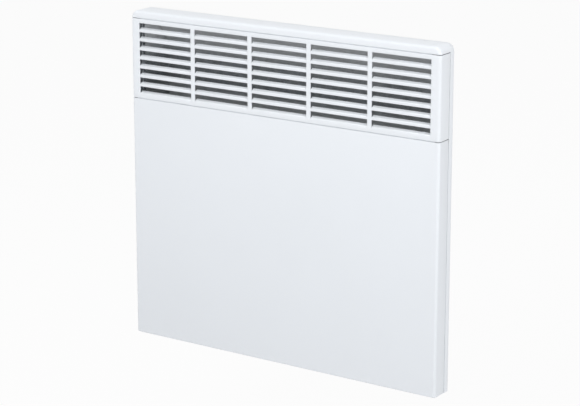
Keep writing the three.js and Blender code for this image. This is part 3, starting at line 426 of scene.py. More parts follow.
def add_node(
    tree: Tree, kind: str, settings: dict[str, object] | None = None, inputs: dict | None = None
) -> bpy.types.Node:
    """Adds a shader node with its settings, values and links.

    Args:
        tree: The node tree.
        kind: The node's type.
        settings: The node's own settings.
        inputs: For each socket, by name or number, a value or the output that feeds it.

    Returns:
        The node.
    """
    node = tree.nodes.new(kind)
    for name, value in (settings or {}).items():
        setattr(node, name, value)
    for socket, value in (inputs or {}).items():
        if isinstance(value, Socket):
            tree.links.new(value, node.inputs[socket])
        else:
            node.inputs[socket].default_value = value
    return node


def grain_scale(size: float) -> float:
    """Gives a texture's scale from the size of its grain in millimetres."""
    return 1 / (size * MM)


@dataclass(frozen=True)
class Finish:
    """A finish as it leaves the factory: its colour, its sheen and the grain in both."""

    name: str
    slot: Slot
    colour: str
    shade: str
    roughness: float
    roughness_swing: float = 0.05
    metallic: float = 0.0
    grain: float = 2.0
    relief: float = 0.02
    stretch: Point = (1.0, 1.0, 1.0)

    def material(self) -> bpy.types.Material:
        """Makes the material, once: later calls give the same one."""
        made = bpy.data.materials.get(self.name)
        if made is not None:
            return made
        made = bpy.data.materials.new(self.name)
        made.use_nodes = True
        tree = made.node_tree
        tree.nodes.clear()
        output = add_node(tree, "ShaderNodeOutputMaterial")
        shader = add_node(tree, "ShaderNodeBsdfPrincipled")
        shader.inputs["Metallic"].default_value = self.metallic
        tree.links.new(shader.outputs["BSDF"], output.inputs["Surface"])
        where = add_node(tree, "ShaderNodeTexCoord").outputs["Object"]
        place = add_node(tree, "ShaderNodeMapping", inputs={"Vector": where, "Scale": self.stretch})
        self.dress(tree, shader, place.outputs["Vector"])
        return made

    def dress(self, tree: Tree, shader: bpy.types.Node, place: Socket) -> None:
        """Gives the shader its colour, roughness and relief.

        Args:
            tree: The node tree.
            shader: The principled shader.
            place: Where a point is on the piece.
        """
        pattern = self.pattern(tree, place)
        tones = {0: self.tint(tree, place, pattern), 6: linear(self.shade), 7: linear(self.colour)}
        colour = add_node(tree, "ShaderNodeMix", {"data_type": "RGBA"}, tones)
        tree.links.new(colour.outputs[2], shader.inputs["Base Color"])
        low, high = self.roughness + self.roughness_swing, self.roughness - self.roughness_swing
        sheen = add_node(tree, "ShaderNodeMapRange", inputs={"Value": pattern, "To Min": low, "To Max": high})
        tree.links.new(sheen.outputs["Result"], shader.inputs["Roughness"])
        relief = {"Height": pattern, "Distance": self.relief * MM, "Strength": 1.0}
        bump = add_node(tree, "ShaderNodeBump", inputs=relief)
        tree.links.new(bump.outputs["Normal"], shader.inputs["Normal"])

    def pattern(self, tree: Tree, place: Socket) -> Socket:
        """Gives the finish's grain, from 0 to 1; an even cloudy one unless a finish has its own."""
        grain = {"Vector": place, "Scale": grain_scale(self.grain), "Detail": 3.0, "Roughness": 0.55}
        return add_node(tree, "ShaderNodeTexNoise", inputs=grain).outputs["Fac"]

    def tint(self, tree: Tree, place: Socket, pattern: Socket) -> Socket:
        """Gives what mixes the two colours, from 0 to 1: the grain unless a finish has its own."""
        return pattern


@dataclass(frozen=True)
class PowderCoat(Finish):
    """Polyester powder baked on sheet steel: a satin white whose slight orange peel breaks up highlights."""

    cloud: float = 140.0

    def tint(self, tree: Tree, place: Socket, pattern: Socket) -> Socket:
        """Gives the slow clouds of an uneven film, far wider than the peel."""
        clouds = {"Vector": place, "Scale": grain_scale(self.cloud), "Detail": 2.0}
        return add_node(tree, "ShaderNodeTexNoise", inputs=clouds).outputs["Fac"]


@dataclass(frozen=True)
class HotDipZinc(Finish):
    """Hot-dip galvanised sheet: flat crystals of zinc, each with its own grey and sheen."""

    def pattern(self, tree: Tree, place: Socket) -> Socket:
        """Gives each spangle one value, its edges frayed by a fine noise."""
        fine = {"Vector": place, "Scale": grain_scale(self.grain / 3), "Detail": 2.0}
        fray = add_node(tree, "ShaderNodeTexNoise", inputs=fine).outputs["Color"]
        bent = add_node(tree, "ShaderNodeMix", {"data_type": "VECTOR"}, {0: 0.004, 4: place, 5: fray})
        spangle = {"Vector": bent.outputs[1], "Scale": grain_scale(self.grain)}
        cells = add_node(tree, "ShaderNodeTexVoronoi", inputs=spangle).outputs["Color"]
        return add_node(tree, "ShaderNodeSeparateColor", inputs={"Color": cells}).outputs[0]


@dataclass(frozen=True)
class ShadedZinc(HotDipZinc):
    """Galvanised sheet over the element, painted dark for the shade inside the casing, with painted light
    lifting it above and below a middle band.
    """

    painted_light_tone: str = "#E0E2E4"
    shade_band_height: float = 30.0
    shade_fade: Span = (15.0, 55.0)

    def dress(self, tree: Tree, shader: bpy.types.Node, place: Socket) -> None:
        """Paints light onto the spangle, lighter with distance from the painted shade band's height."""
        super().dress(tree, shader, place)
        shaded_spangle = shader.inputs["Base Color"].links[0].from_socket
        # Painted light: away from the band, the dark painted-shade grey mixes towards a lighter one.
        height = add_node(tree, "ShaderNodeSeparateXYZ", inputs={0: place}).outputs["Z"]
        above = add_node(tree, "ShaderNodeMath", {"operation": "SUBTRACT"}, {0: height, 1: self.shade_band_height * MM})
        away = add_node(tree, "ShaderNodeMath", {"operation": "ABSOLUTE"}, {0: above.outputs[0]})
        start, end = (reach * MM for reach in self.shade_fade)
        fade = {"Value": away.outputs[0], "From Min": start, "From Max": end}
        share = add_node(tree, "ShaderNodeMapRange", inputs=fade).outputs["Result"]
        tones = {0: share, 6: shaded_spangle, 7: linear(self.painted_light_tone)}
        mixed = add_node(tree, "ShaderNodeMix", {"data_type": "RGBA"}, tones)
        tree.links.new(mixed.outputs[2], shader.inputs["Base Color"])


@dataclass(frozen=True)
class BoardLaminate(Finish):
    """Green solder mask over copper: tracks a little paler than the bare laminate."""

    def pattern(self, tree: Tree, place: Socket) -> Socket:
        """Gives narrow tracks between wide pads."""
        layout = {"Vector": place, "Scale": grain_scale(self.grain), "Randomness": 0.7}
        cells = add_node(tree, "ShaderNodeTexVoronoi", {"feature": "DISTANCE_TO_EDGE"}, layout)
        track = {"Value": cells.outputs["Distance"], "From Min": 0.08, "From Max": 0.12}
        return add_node(tree, "ShaderNodeMapRange", inputs=track).outputs["Result"]


@dataclass(frozen=True)
class SmokedLens(Finish):
    """Tinted polycarbonate: light comes through it, softened by its moulded inside."""

    def dress(self, tree: Tree, shader: bpy.types.Node, place: Socket) -> None:
        """Lets light through the shader, on top of the usual grain."""
        super().dress(tree, shader, place)
        shader.inputs["Transmission Weight"].default_value = 0.55
        shader.inputs["IOR"].default_value = 1.58


# Polyester powder on the casing, a very slightly cool white, glossier in the hollows of its peel.
# Real orange peel is about 1 mm across; on both powder coats it is drawn coarser to show.
WHITE_POWDER = PowderCoat(
    "polyester powder coat", Slot.WHITE_PAINT, "#EEF2F7", "#EBEFF4", roughness=0.42, roughness_swing=-0.04,
    grain=3.2, relief=0.016,
)
# Painted shade: the grille's white powder, painted a shade deeper on the front panel to stand in for the
# lesser light that falls on it.
SHADED_PANEL_POWDER = PowderCoat(
    "front panel powder coat darkened for shade", Slot.WHITE_PAINT, "#EAEEF3", "#E7EBF0", roughness=0.42, roughness_swing=-0.04,
    grain=3.2, relief=0.016,
)
# Zinc spangle of a few millimetres on the tray, the bracket, the inlet guard and the small holders.
ZINC_SHEET = HotDipZinc(
    "hot-dip galvanised steel", Slot.GALVANISED, "#BABFC2", "#ABB0B4", roughness=0.42, roughness_swing=0.06,
    metallic=0.85, grain=4.2, relief=0.004,
)
# Painted shade: the same zinc sheet over the element, painted dark for the shade behind the grille, and
# lighter above and below a middle band as painted light.
SHADED_ZINC = ShadedZinc(
    "galvanised steel painted dark for shade", Slot.GALVANISED, "#8B8F92", "#7F8386", roughness=0.62,
    roughness_swing=0.06, metallic=0.35, grain=4.2, relief=0.004,
)
# Extruded fins: fine die lines along the bar.
EXTRUDED_ALUMINIUM = Finish(
    "extruded aluminium", Slot.ALUMINIUM, "#C9CBCD", "#A9ACAF", roughness=0.4, roughness_swing=0.08,
    metallic=1.0, grain=1.5, stretch=(0.03, 1.0, 1.0),
)
# Rolled foil-bright sheet of the heat shield, its roll lines upright.
ROLLED_ALUMINIUM = Finish(
    "rolled aluminium sheet", Slot.ALUMINIUM, "#CDCFD1", "#B4B7BA", roughness=0.36, roughness_swing=0.06,
    metallic=1.0, grain=1.5, relief=0.01, stretch=(1.0, 1.0, 0.04),
)
# Bright zinc plating on pressed screws, with a trace of blue.
ZINC_PLATED_STEEL = Finish(
    "bright zinc plated steel", Slot.STEEL, "#C3C8CE", "#969CA4", roughness=0.3, roughness_swing=0.08,
    metallic=1.0, grain=0.9, relief=0.01,
)
# Stainless rod of the element, drawn along its length.
DRAWN_STEEL = Finish(
    "drawn stainless steel", Slot.STEEL, "#A8A8A6", "#83827F", roughness=0.34, roughness_swing=0.08,
    metallic=1.0, grain=0.8, relief=0.01, stretch=(0.05, 1.0, 1.0),
)
# Pressed and fired steatite, dull cream with a gritty face.
STEATITE = Finish(
    "fired steatite", Slot.CERAMIC, "#EAE5D9", "#D9D2C2", roughness=0.6, roughness_swing=0.08,
    grain=0.7, relief=0.03,
)
# Warm yellow of the terminal tabs and the probe, with fine roll lines.
ROLLED_BRASS = Finish(
    "rolled brass", Slot.BRASS, "#C9A955", "#AD8B3F", roughness=0.3, roughness_swing=0.07, metallic=1.0,
    grain=0.8, relief=0.01, stretch=(1.0, 0.1, 1.0),
)
# Spark-eroded moulds leave a fine matt grain on the control box.
WHITE_ABS = Finish(
    "moulded white ABS", Slot.WHITE_PLASTIC, "#EDEFEF", "#E5E7E7", roughness=0.5, grain=0.9, relief=0.03,
)
# The same matt grain in the cool grey of the housing and the knobs.
GREY_ABS = Finish(
    "moulded light grey ABS", Slot.GREY_PLASTIC, "#BFC3C6", "#B2B6B9", roughness=0.52, grain=0.9, relief=0.03,
)
# Near-black of the latches, the rocker and the relay, faintly mottled by its glass filling.
BLACK_NYLON = Finish(
    "moulded black nylon", Slot.BLACK_PLASTIC, "#2A2C2E", "#1F2123", roughness=0.5, roughness_swing=0.06,
    grain=0.8, relief=0.03,
)
# Dark brown of the switch bodies, with the fleck of its filler.
PHENOLIC = Finish(
    "pressed phenolic", Slot.BLACK_PLASTIC, "#30261F", "#231B17", roughness=0.42, roughness_swing=0.06,
    grain=1.1,
)
# Warm orange of the indicator, glossy, letting light through.
AMBER_POLYCARBONATE = SmokedLens(
    "amber polycarbonate", Slot.AMBER_LENS, "#FF8A1C", "#F67A10", roughness=0.18, roughness_swing=0.04,
    grain=1.0,
)
# Deep green over paler tracks, which are drawn several times wider than real ones to show.
SOLDER_MASK = BoardLaminate(
    "green solder mask", Slot.CIRCUIT_BOARD, "#1B6238", "#2B8450", roughness=0.36, grain=5.0, relief=0.03,
)
# Silicone sleeves on the leads: matt, with a bloom too fine to see singly.
BROWN_SLEEVE = Finish(
    "brown silicone sleeve", Slot.BROWN_LEAD, "#66422B", "#573622", roughness=0.55, grain=1.0,
)
BLUE_SLEEVE = Finish(
    "blue silicone sleeve", Slot.BLUE_LEAD, "#2F5DAF", "#274F99", roughness=0.55, grain=1.0,
)
WHITE_SLEEVE = Finish(
    "white silicone sleeve", Slot.WHITE_LEAD, "#E2E0D7", "#D3D0C5", roughness=0.55, grain=1.0,
)
# Rubber of the gland: a dull black that hardly shines.
EPDM = Finish(
    "moulded EPDM rubber", Slot.BLACK_RUBBER, "#303031", "#252526", roughness=0.78, roughness_swing=0.06,
    grain=1.2, relief=0.03,
)
# Screen ink: a flat dark grey that sits a little glossier than the grain under it.
DARK_INK = Finish(
    "dark grey screen ink", Slot.BLACK_PLASTIC, "#2E3134", "#282B2E", roughness=0.4, grain=0.8, relief=0.005,
)
# Pad-printed ink of the pointers and the rocker's marks: a bright, flat white.
WHITE_INK = Finish(
    "white pad-print ink", Slot.WHITE_PLASTIC, "#F4F5F5", "#ECEDED", roughness=0.4, grain=0.8, relief=0.005,
)


def dress(piece: Piece, finish: Finish, body: Body, *nodes: str) -> Piece:
    """Finishes a new piece, sets it on its body and hides the CAD nodes it stands for.

    Args:
        piece: The piece.
        finish: Its finish.
        body: The body it moves with.
        nodes: The CAD nodes it replaces.

    Returns:
        The same piece.
    """
    piece.data.materials.clear()
    piece.data.materials.append(finish.material())
    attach(piece, body.value)
    if nodes:
        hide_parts(*nodes)
    log.info("%s: %d faces, %s", piece.name, len(piece.data.polygons), finish.name)
    return piece


# ---- White casing ------------------------------------------------------------


@dataclass
class Casing:
    """The white sheet-steel casing: front panel, outlet grille and the frame with its cap."""

    half_width: float = 230.0
    front: float = -78.0
    front_end: float = -56.0
    frame_start: float = -55.0
    back: float = -46.0
    bottom: float = -330.0
    lower_seam: float = -6.0
    upper_seam: float = 100.0
    top: float = 110.0
    seam: float = 0.8
    sheet: float = 1.0
    edge_radius: float = 4.0
    fold_radius: float = 1.6
    fold_end: float = -60.0
    cap_corner: float = 10.0
    cap_edge: float = 4.0
    window: float = 216.3
    window_top: float = 102.3
    lip: float = 6.0
    left_foot: float = 215.6
    right_foot: float = 210.8
    clearance: float = 0.3
    cut_edge: float = 0.22
    backing_reach: float = 217.0
    lip_heights: tuple[Span, ...] = ((-328.0, -12.0), (-5.2, 0.8), (94.2, 99.2))

    def build(self) -> None:
        """Builds and finishes the front panel and the frame."""
        # The front panel takes the white powder painted a shade darker, as painted shade.
        dress(self.front_panel(), SHADED_PANEL_POWDER, Body.HEATER, "front_panel")
        dress(self.shell(), WHITE_POWDER, Body.HEATER, "casing_frame")

    def wrap(self, name: str, low: float, high: float) -> Piece:
        """Gives an open shell round the front edges, between two heights.

        Args:
            name: The piece's name.
            low: Its bottom.
            high: Its top.

        Returns:
            The shell, without thickness, its bottom still closed.
        """
        piece = block(name, (-self.half_width, self.half_width), (self.front, self.front_end), (low, high))
        with editing(piece, Kind.FACES):
            remove_faces(piece, lambda at, face: face.normal.z > 0.9 or face.normal.y > 0.9)
        with editing(piece, Kind.EDGES):
            front = self.front
            bevel_edges(piece, lambda at, edge: along(edge, 2) and near(at.y, front), self.edge_radius, 8)
        return piece

    def front_panel(self) -> Piece:
        """Builds the plain front, folded round the sides and under the casing."""
        top = self.lower_seam - self.seam / 2
        piece = self.wrap("front_panel_sheet", self.bottom, top)

        def lower_fold(at: Vector, edge: Edge) -> bool:
            return near(at.z, self.bottom) and not edge.is_boundary

        with editing(piece, Kind.EDGES):
            bevel_edges(piece, lower_fold, self.fold_radius, 4)
        with editing(piece, Kind.FACES):
            pick(piece, Kind.FACES, lambda at, face: face.normal.z < -0.9)
            bpy.ops.mesh.bisect(plane_co=metres((0, self.fold_end, 0)), plane_no=(0, 1, 0))
            remove_faces(piece, lambda at, face: face.normal.z < -0.9 and at.y > self.fold_end)
        self.thicken(piece)
        return piece

    def thicken(self, piece: Piece) -> None:
        """Gives a folded piece its sheet thickness, inwards, and breaks its cut edges."""
        modify(piece, "SOLIDIFY", thickness=self.sheet * MM, offset=-1, use_even_offset=True)
        soften(piece, self.cut_edge, 2, 60)
        smooth(piece, 38)

    def backing(self, name: str, seam: float) -> Piece:
        """Builds the joggled strip that closes a seam from behind.

        Args:
            name: The piece's name.
            seam: The height of the seam's middle.

        Returns:
            The strip.
        """
        edge = seam + self.seam / 2
        face = self.front + self.sheet + self.clearance
        profile = [(face, edge - self.lip), (face, edge - 0.6), (face - 0.6, edge), (face - 0.9, edge + 0.3)]
        strip = swept(name, profile, (-self.backing_reach, self.backing_reach), -self.sheet)
        smooth(strip)
        return strip

    def shell(self) -> Piece:
        """Builds the frame: sides, return flanges and the rounded cap in one sheet."""
        wide = (-self.half_width, self.half_width)
        piece = block("casing_shell", wide, (self.front, self.back), (self.bottom, self.top))
        seam = self.upper_seam + self.seam / 2

        def cap_fold(at: Vector, edge: Edge) -> bool:
            return near(at.y, self.front) and at.z > self.bottom + 1

        def open_part(at: Vector, face: Face) -> bool:
            before = at.y < self.frame_start and at.z < seam
            behind = face.normal.y > 0.9 and abs(at.x) < self.window and at.z < self.window_top
            return before or behind or face.normal.z < -0.9

        with editing(piece, Kind.EDGES):
            bevel_edges(piece, lambda at, edge: along(edge, 1) and near(at.z, self.top), self.cap_corner, 10)
            bevel_edges(piece, cap_fold, self.cap_edge, 6)
        with editing(piece, Kind.FACES):
            slice_at(2, [seam, self.window_top])
            slice_at(1, [self.frame_start])
            slice_at(0, [-self.window, self.window])
            remove_faces(piece, open_part)
        self.thicken(piece)
        parts = [piece, self.backing("cap_backing", self.upper_seam)]
        for side in (-1, 1):
            parts += self.joggles(side)
        return weld(parts, "casing_shell")

    def joggles(self, side: int) -> list[Piece]:
        """Builds one side's stepped lips, which reach inside the front's flange.

        Args:
            side: -1 for the left, 1 for the right.

        Returns:
            The lips and the foot under them.
        """
        outer = self.half_width - self.sheet - self.clearance
        start, end = self.frame_start, self.frame_start + self.sheet
        parts = []
        for heights in self.lip_heights:
            parts.append(block("lip", sided(side, outer - 1, outer), (self.front_end - 10, end), heights))
            parts.append(block("step", sided(side, outer - 1, outer + 0.8), (start, end), heights))
        reach = sided(side, self.right_foot if side > 0 else self.left_foot, self.half_width - 0.5)
        depth, height = (self.fold_end + 0.4, self.back), (self.bottom, self.bottom + self.sheet)
        parts.append(block("foot", reach, depth, height))
        for part in parts:
            soften(part, 0.2)
        return parts


@dataclass
class OutletGrille(Casing):
    """The louvred outlet: five columns of eight slots, each with its strip bent inwards."""

    columns: int = 5
    rows: int = 8
    first_slot: float = -216.95
    column_pitch: float = 88.0
    slot_length: float = 81.9
    first_top: float = 94.0
    row_pitch: float = 12.0
    slot_height: float = 7.85
    flap: float = 5.2
    rise: float = 28.0
    bend: float = 1.4
    relief: float = 0.5
    backing_reach: float = 222.0

    def build(self) -> None:
        """Builds and finishes the grille."""
        dress(self.grille(), WHITE_POWDER, Body.HEATER, "outlet_grille")

    def slots(self) -> list[tuple[Span, Span]]:
        """Lists each slot's reach along X and its bottom and top."""
        made = []
        for row in range(self.rows):
            top = self.first_top - row * self.row_pitch
            for column in range(self.columns):
                left = self.first_slot + column * self.column_pitch
                made.append(((left, left + self.slot_length), (top - self.slot_height, top)))
        return made

    def grille(self) -> Piece:
        """Builds the sheet, cuts its slots and bends a strip in from each slot's foot."""
        low = self.lower_seam + self.seam / 2
        piece = self.wrap("louvred_outlet", low, self.upper_seam - self.seam / 2)
        slots = self.slots()
        root, relief, length = self.bend, self.relief, self.slot_length

        def inside(at: Vector, face: Face) -> bool:
            return face.normal.y < -0.99 and any(
                left < at.x < right and bottom - root < at.z < top for (left, right), (bottom, top) in slots
            )

        def foot(at: Vector, edge: Edge) -> bool:
            front_lip = edge.is_boundary and along(edge, 0) and near(at.y, self.front, 0.01)
            return front_lip and any(
                left + relief < at.x < right - relief and near(at.z, bottom - root, 0.01)
                for (left, right), (bottom, _) in slots
            )

        with editing(piece, Kind.FACES):
            remove_faces(piece, lambda at, face: face.normal.z < -0.9)
            lefts = sorted({span[0] for span, _ in slots})
            slice_at(0, [left + shift for left in lefts for shift in (0, length, relief, length - relief)])
            bottoms = sorted({height[0] for _, height in slots})
            slice_at(2, [bottom + shift for bottom in bottoms for shift in (-root, self.slot_height)])
            remove_faces(piece, inside)
            bpy.ops.mesh.select_mode(type="EDGE")
            pick(piece, Kind.EDGES, foot)
            turn = arc((root, -root), root, 180, 90 + self.rise, 5)
            for (y0, z0), (y1, z1) in zip(turn, turn[1:]):
                push((0, y1 - y0, z1 - z0))
            rest, rise = self.flap - root, math.radians(self.rise)
            push((0, rest * math.cos(rise), rest * math.sin(rise)))
        self.thicken(piece)
        return weld([piece, self.backing("grille_backing", self.lower_seam)], "louvred_outlet")


# ---- Screws ------------------------------------------------------------------


@dataclass
class Screws:
    """Pan-head sheet-metal screws with a cross recess, one pattern copied to each place."""

    head: float = 3.8
    rise: float = 2.2
    shank: float = 1.9
    length: float = 6.0
    gap: float = 0.3
    ridges: int = 5
    pitch: float = 1.1

    def pattern(self) -> Piece:
        """Builds one screw about the origin, its head above +Z and its thread below."""
        head = drum("screw_head", self.head, (0, 0, self.gap), self.rise, sides=32)
        with editing(head, Kind.EDGES):
            bevel_edges(head, lambda at, edge: at.z > self.rise + 0.2 and not along(edge, 2), 1.3, 4)
        for x, y in ((0.42, 2.0), (2.0, 0.42)):
            recess = block("recess", (-x, x), (-y, y), (self.rise - 0.9, self.rise + 1))
            with editing(recess, Kind.FACES):
                pick(recess, Kind.FACES, lambda at, face: face.normal.z < -0.9)
                bpy.ops.transform.resize(value=(0.6, 0.6, 1))
            subtract(head, recess)
        reach = self.length + self.gap + 0.5
        parts = [head, drum("screw_thread", self.shank * 0.82, (0, 0, -self.length), reach, sides=16)]
        for turn in range(self.ridges):
            low = -self.length + 0.4 + turn * self.pitch
            ridge = drum("ridge", self.shank, (0, 0, low), 0.5, sides=16)
            with editing(ridge, Kind.EDGES):
                bevel_edges(ridge, lambda at, edge: not along(edge, 2), 0.22, 1)
            parts.append(ridge)
        screw = weld(parts, "screw_pattern")
        smooth(screw, 40)
        return screw

    def build(self, seats: dict[str, tuple[Point, str]]) -> None:
        """Sets a screw at each seat.

        Args:
            seats: For each CAD screw, where its head seats and which way the head faces.
        """
        pattern = self.pattern()
        for index, (node, (place, facing)) in enumerate(seats.items()):
            screw = bpy.data.objects.new(f"{node}_pan_head", pattern.data.copy())
            bpy.context.scene.collection.objects.link(screw)
            screw.location = metres(place)
            spin = 0.4 + 0.9 * index  # every screw stops at its own turn
            screw.rotation_euler = (-math.pi / 2, spin, 0) if facing == "+y" else (math.pi, 0, spin)
            settle(screw, screw.name)
            dress(screw, ZINC_PLATED_STEEL, Body.HEATER, node)
        bpy.data.objects.remove(pattern)


def screw_seats() -> dict[str, tuple[Point, str]]:
    """Finds where each CAD screw seats and which way its head faces."""
    seats, head = {}, 2.5
    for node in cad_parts:
        if "screw" not in node:
            continue
        low, high = (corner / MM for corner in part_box(node))
        middle = (low + high) / 2
        if node.startswith("bottom"):
            seats[node] = ((middle.x, middle.y, low.z + head), "-z")
        else:
            seats[node] = ((middle.x, high.y - head, middle.z), "+y")
    return seats


# ---- Back and underside ------------------------------------------------------


@dataclass
class Back:
    """What faces the wall: the zinc tray with its pressed ribs, the bracket and the latches."""

    face: float = -15.0
    rib_height: float = 1.0
    rib_width: float = 8.0
    outer_ribs: tuple[float, ...] = (-203.0, -163.0, 163.0, 203.0)
    outer_reach: Span = (-292.0, 72.0)
    inner_ribs: tuple[float, ...] = (-63.0, -21.0, 21.0, 63.0)
    inner_reach: Span = (-226.0, -42.0)
    lever_back: float = -9.7
    lever_tip: float = -316.0
    grip_pitch: float = 2.6
    half_width: float = 216.0
    top: float = 102.0
    corner: float = 11.0
    sheet: float = 1.0

    def tray(self) -> Piece:
        """Gives the tray with the rounded corners of a drawn pressing, inside and out."""
        tray = copied("rear_tray", "pressed_tray")
        edges = Vector((self.half_width, self.face, self.top))
        side, back, top = edges - Vector.Fill(3, self.corner + 2)
        cuts = [(0, -side), (0, side), (1, back), (2, top)]
        clear_corner(tray, cuts, lambda at, face: at.y > back and (abs(at.x) > side or at.z > top))
        for depth in (0.0, self.sheet):
            corner = edges - Vector.Fill(3, depth)

            def fold(at: Vector, edge: Edge) -> bool:
                upright = along(edge, 2) and near(abs(at.x), corner.x)
                across = along(edge, 0) and near(at.z, corner.z)
                return near(at.y, corner.y) and (upright or across)

            with editing(tray, Kind.EDGES):
                bevel_edges(tray, fold, self.corner - depth, 8)
        soften(tray, 0.3, 2, 50)
        smooth(tray)
        return tray

    def build(self) -> None:
        """Builds and finishes the tray, the bracket and both latches."""
        tray = self.tray()
        ribs = [self.rib(x, self.outer_reach) for x in self.outer_ribs]
        ribs += [self.rib(x, self.inner_reach) for x in self.inner_ribs]
        dress(weld([tray, *ribs], "pressed_tray"), ZINC_SHEET, Body.HEATER, "rear_tray")
        dress(traced("wall_bracket", "folded_bracket", 0.4), ZINC_SHEET, Body.BRACKET, "wall_bracket")
        for side, body in (("left", Body.LEFT_LATCH), ("right", Body.RIGHT_LATCH)):
            dress(self.latch(side), BLACK_NYLON, body, f"latch_{side}")

    def rib(self, x: float, reach: Span) -> Piece:
        """Builds one upright pressed rib with rounded shoulders and ends.

        Args:
            x: Its middle.
            reach: Its bottom and top.

        Returns:
            The rib.
        """
        half = self.rib_width / 2
        rib = block("rib", (x - half, x + half), (self.face - 0.3, self.face + self.rib_height), reach)
        with editing(rib, Kind.EDGES):
            bevel_edges(rib, lambda at, edge: along(edge, 1), half * 0.95, 6)
            bevel_edges(rib, lambda at, edge: near(at.y, self.face + self.rib_height, 0.01), 0.9, 4)
        smooth(rib, 50)
        return rib

    def latch(self, side: str) -> Piece:
        """Builds a quarter-turn latch with finger ridges near the end of its lever."""
        latch = traced(f"latch_{side}", f"quarter_turn_latch_{side}", 0.7, 3)
        middle = sum(corner.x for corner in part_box(f"latch_{side}")) / 2 / MM
        width, depth = (middle - 3.4, middle + 3.4), (self.lever_back - 0.3, self.lever_back + 0.6)
        ridges = []
        for step in range(4):
            low = self.lever_tip + 3.0 + step * self.grip_pitch
            ridge = block("ridge", width, depth, (low, low + 1.2))
            soften(ridge, 0.35, 3)
            ridges.append(ridge)
        return weld([latch, *ridges], f"quarter_turn_latch_{side}")


@dataclass
class AirGuide:
    """The sheet parts that turn the air: the curved deflector, its cheeks and the inlet guard."""

    back: float = -20.5
    radius: float = 50.0
    top: float = 96.0
    skirt: float = 60.0
    lip: float = 4.0
    reach: float = 212.6
    sheet: float = 0.8
    cheek_out: float = 214.7
    cheek_back: float = -16.3
    bend: float = 7.7
    tuck: float = 3.0
    guard_corner: Spot = (-214.0, -17.0)
    guard_radius: float = 9.7

    def cheek(self, side: int, hand: str) -> Piece:
        """Gives a cheek whose foot is tucked inside the tray's rounded corner.

        Args:
            side: -1 for the left, 1 for the right.
            hand: The same in the node's name.

        Returns:
            The cheek.
        """
        cheek = copied(f"deflector_cheek_{hand}", f"curved_cheek_{hand}")
        reach, back = self.cheek_out - self.bend, self.cheek_back - self.bend
        with editing(cheek, Kind.VERTS):
            slice_at(0, [side * reach])
            slice_at(1, [back])
            pick(cheek, Kind.VERTS, lambda at, vert: side * at.x > reach + 0.1 and at.y > back + 0.1)
            bpy.ops.transform.translate(value=metres((-side * self.tuck, -self.tuck, 0)))
        soften(cheek, 0.15, 2, 50)
        smooth(cheek)
        return cheek

    def build(self) -> None:
        """Builds and finishes the guides."""
        y, z = self.back - self.radius, self.top - self.radius
        curve = arc((y, z), self.radius, 0, 90, 24)
        profile = [(self.back, z - self.skirt), *curve, (y - self.lip, self.top)]
        deflector = swept("curved_deflector", profile, (-self.reach, self.reach), self.sheet)
        smooth(deflector, 30)
        # Painted shade: the deflector takes the zinc painted dark, with painted light above and below its
        # middle band.
        dress(deflector, SHADED_ZINC, Body.HEATER, "heat_deflector")
        # The cheeks take the same zinc painted dark for shade.
        for side, hand in ((-1, "left"), (1, "right")):
            dress(self.cheek(side, hand), SHADED_ZINC, Body.HEATER, f"deflector_cheek_{hand}")
        guard = copied("inlet_guard", "slotted_inlet_guard")
        x, y = self.guard_corner
        with editing(guard, Kind.EDGES):
            radius = self.guard_radius
            bevel_edges(guard, lambda at, edge: along(edge, 2) and at.x < x and at.y > y, radius, 6)
        soften(guard, 0.2)
        smooth(guard)
        dress(guard, ZINC_SHEET, Body.HEATER, "inlet_guard")


# ---- Controls ----------------------------------------------------------------


class Mark(Enum):
    """The generic marks printed round the controls."""

    OFF = "0"
    ONE = "1"
    TWO = "2"
    THREE = "3"
    FIVE = "5"
    SIX = "6"


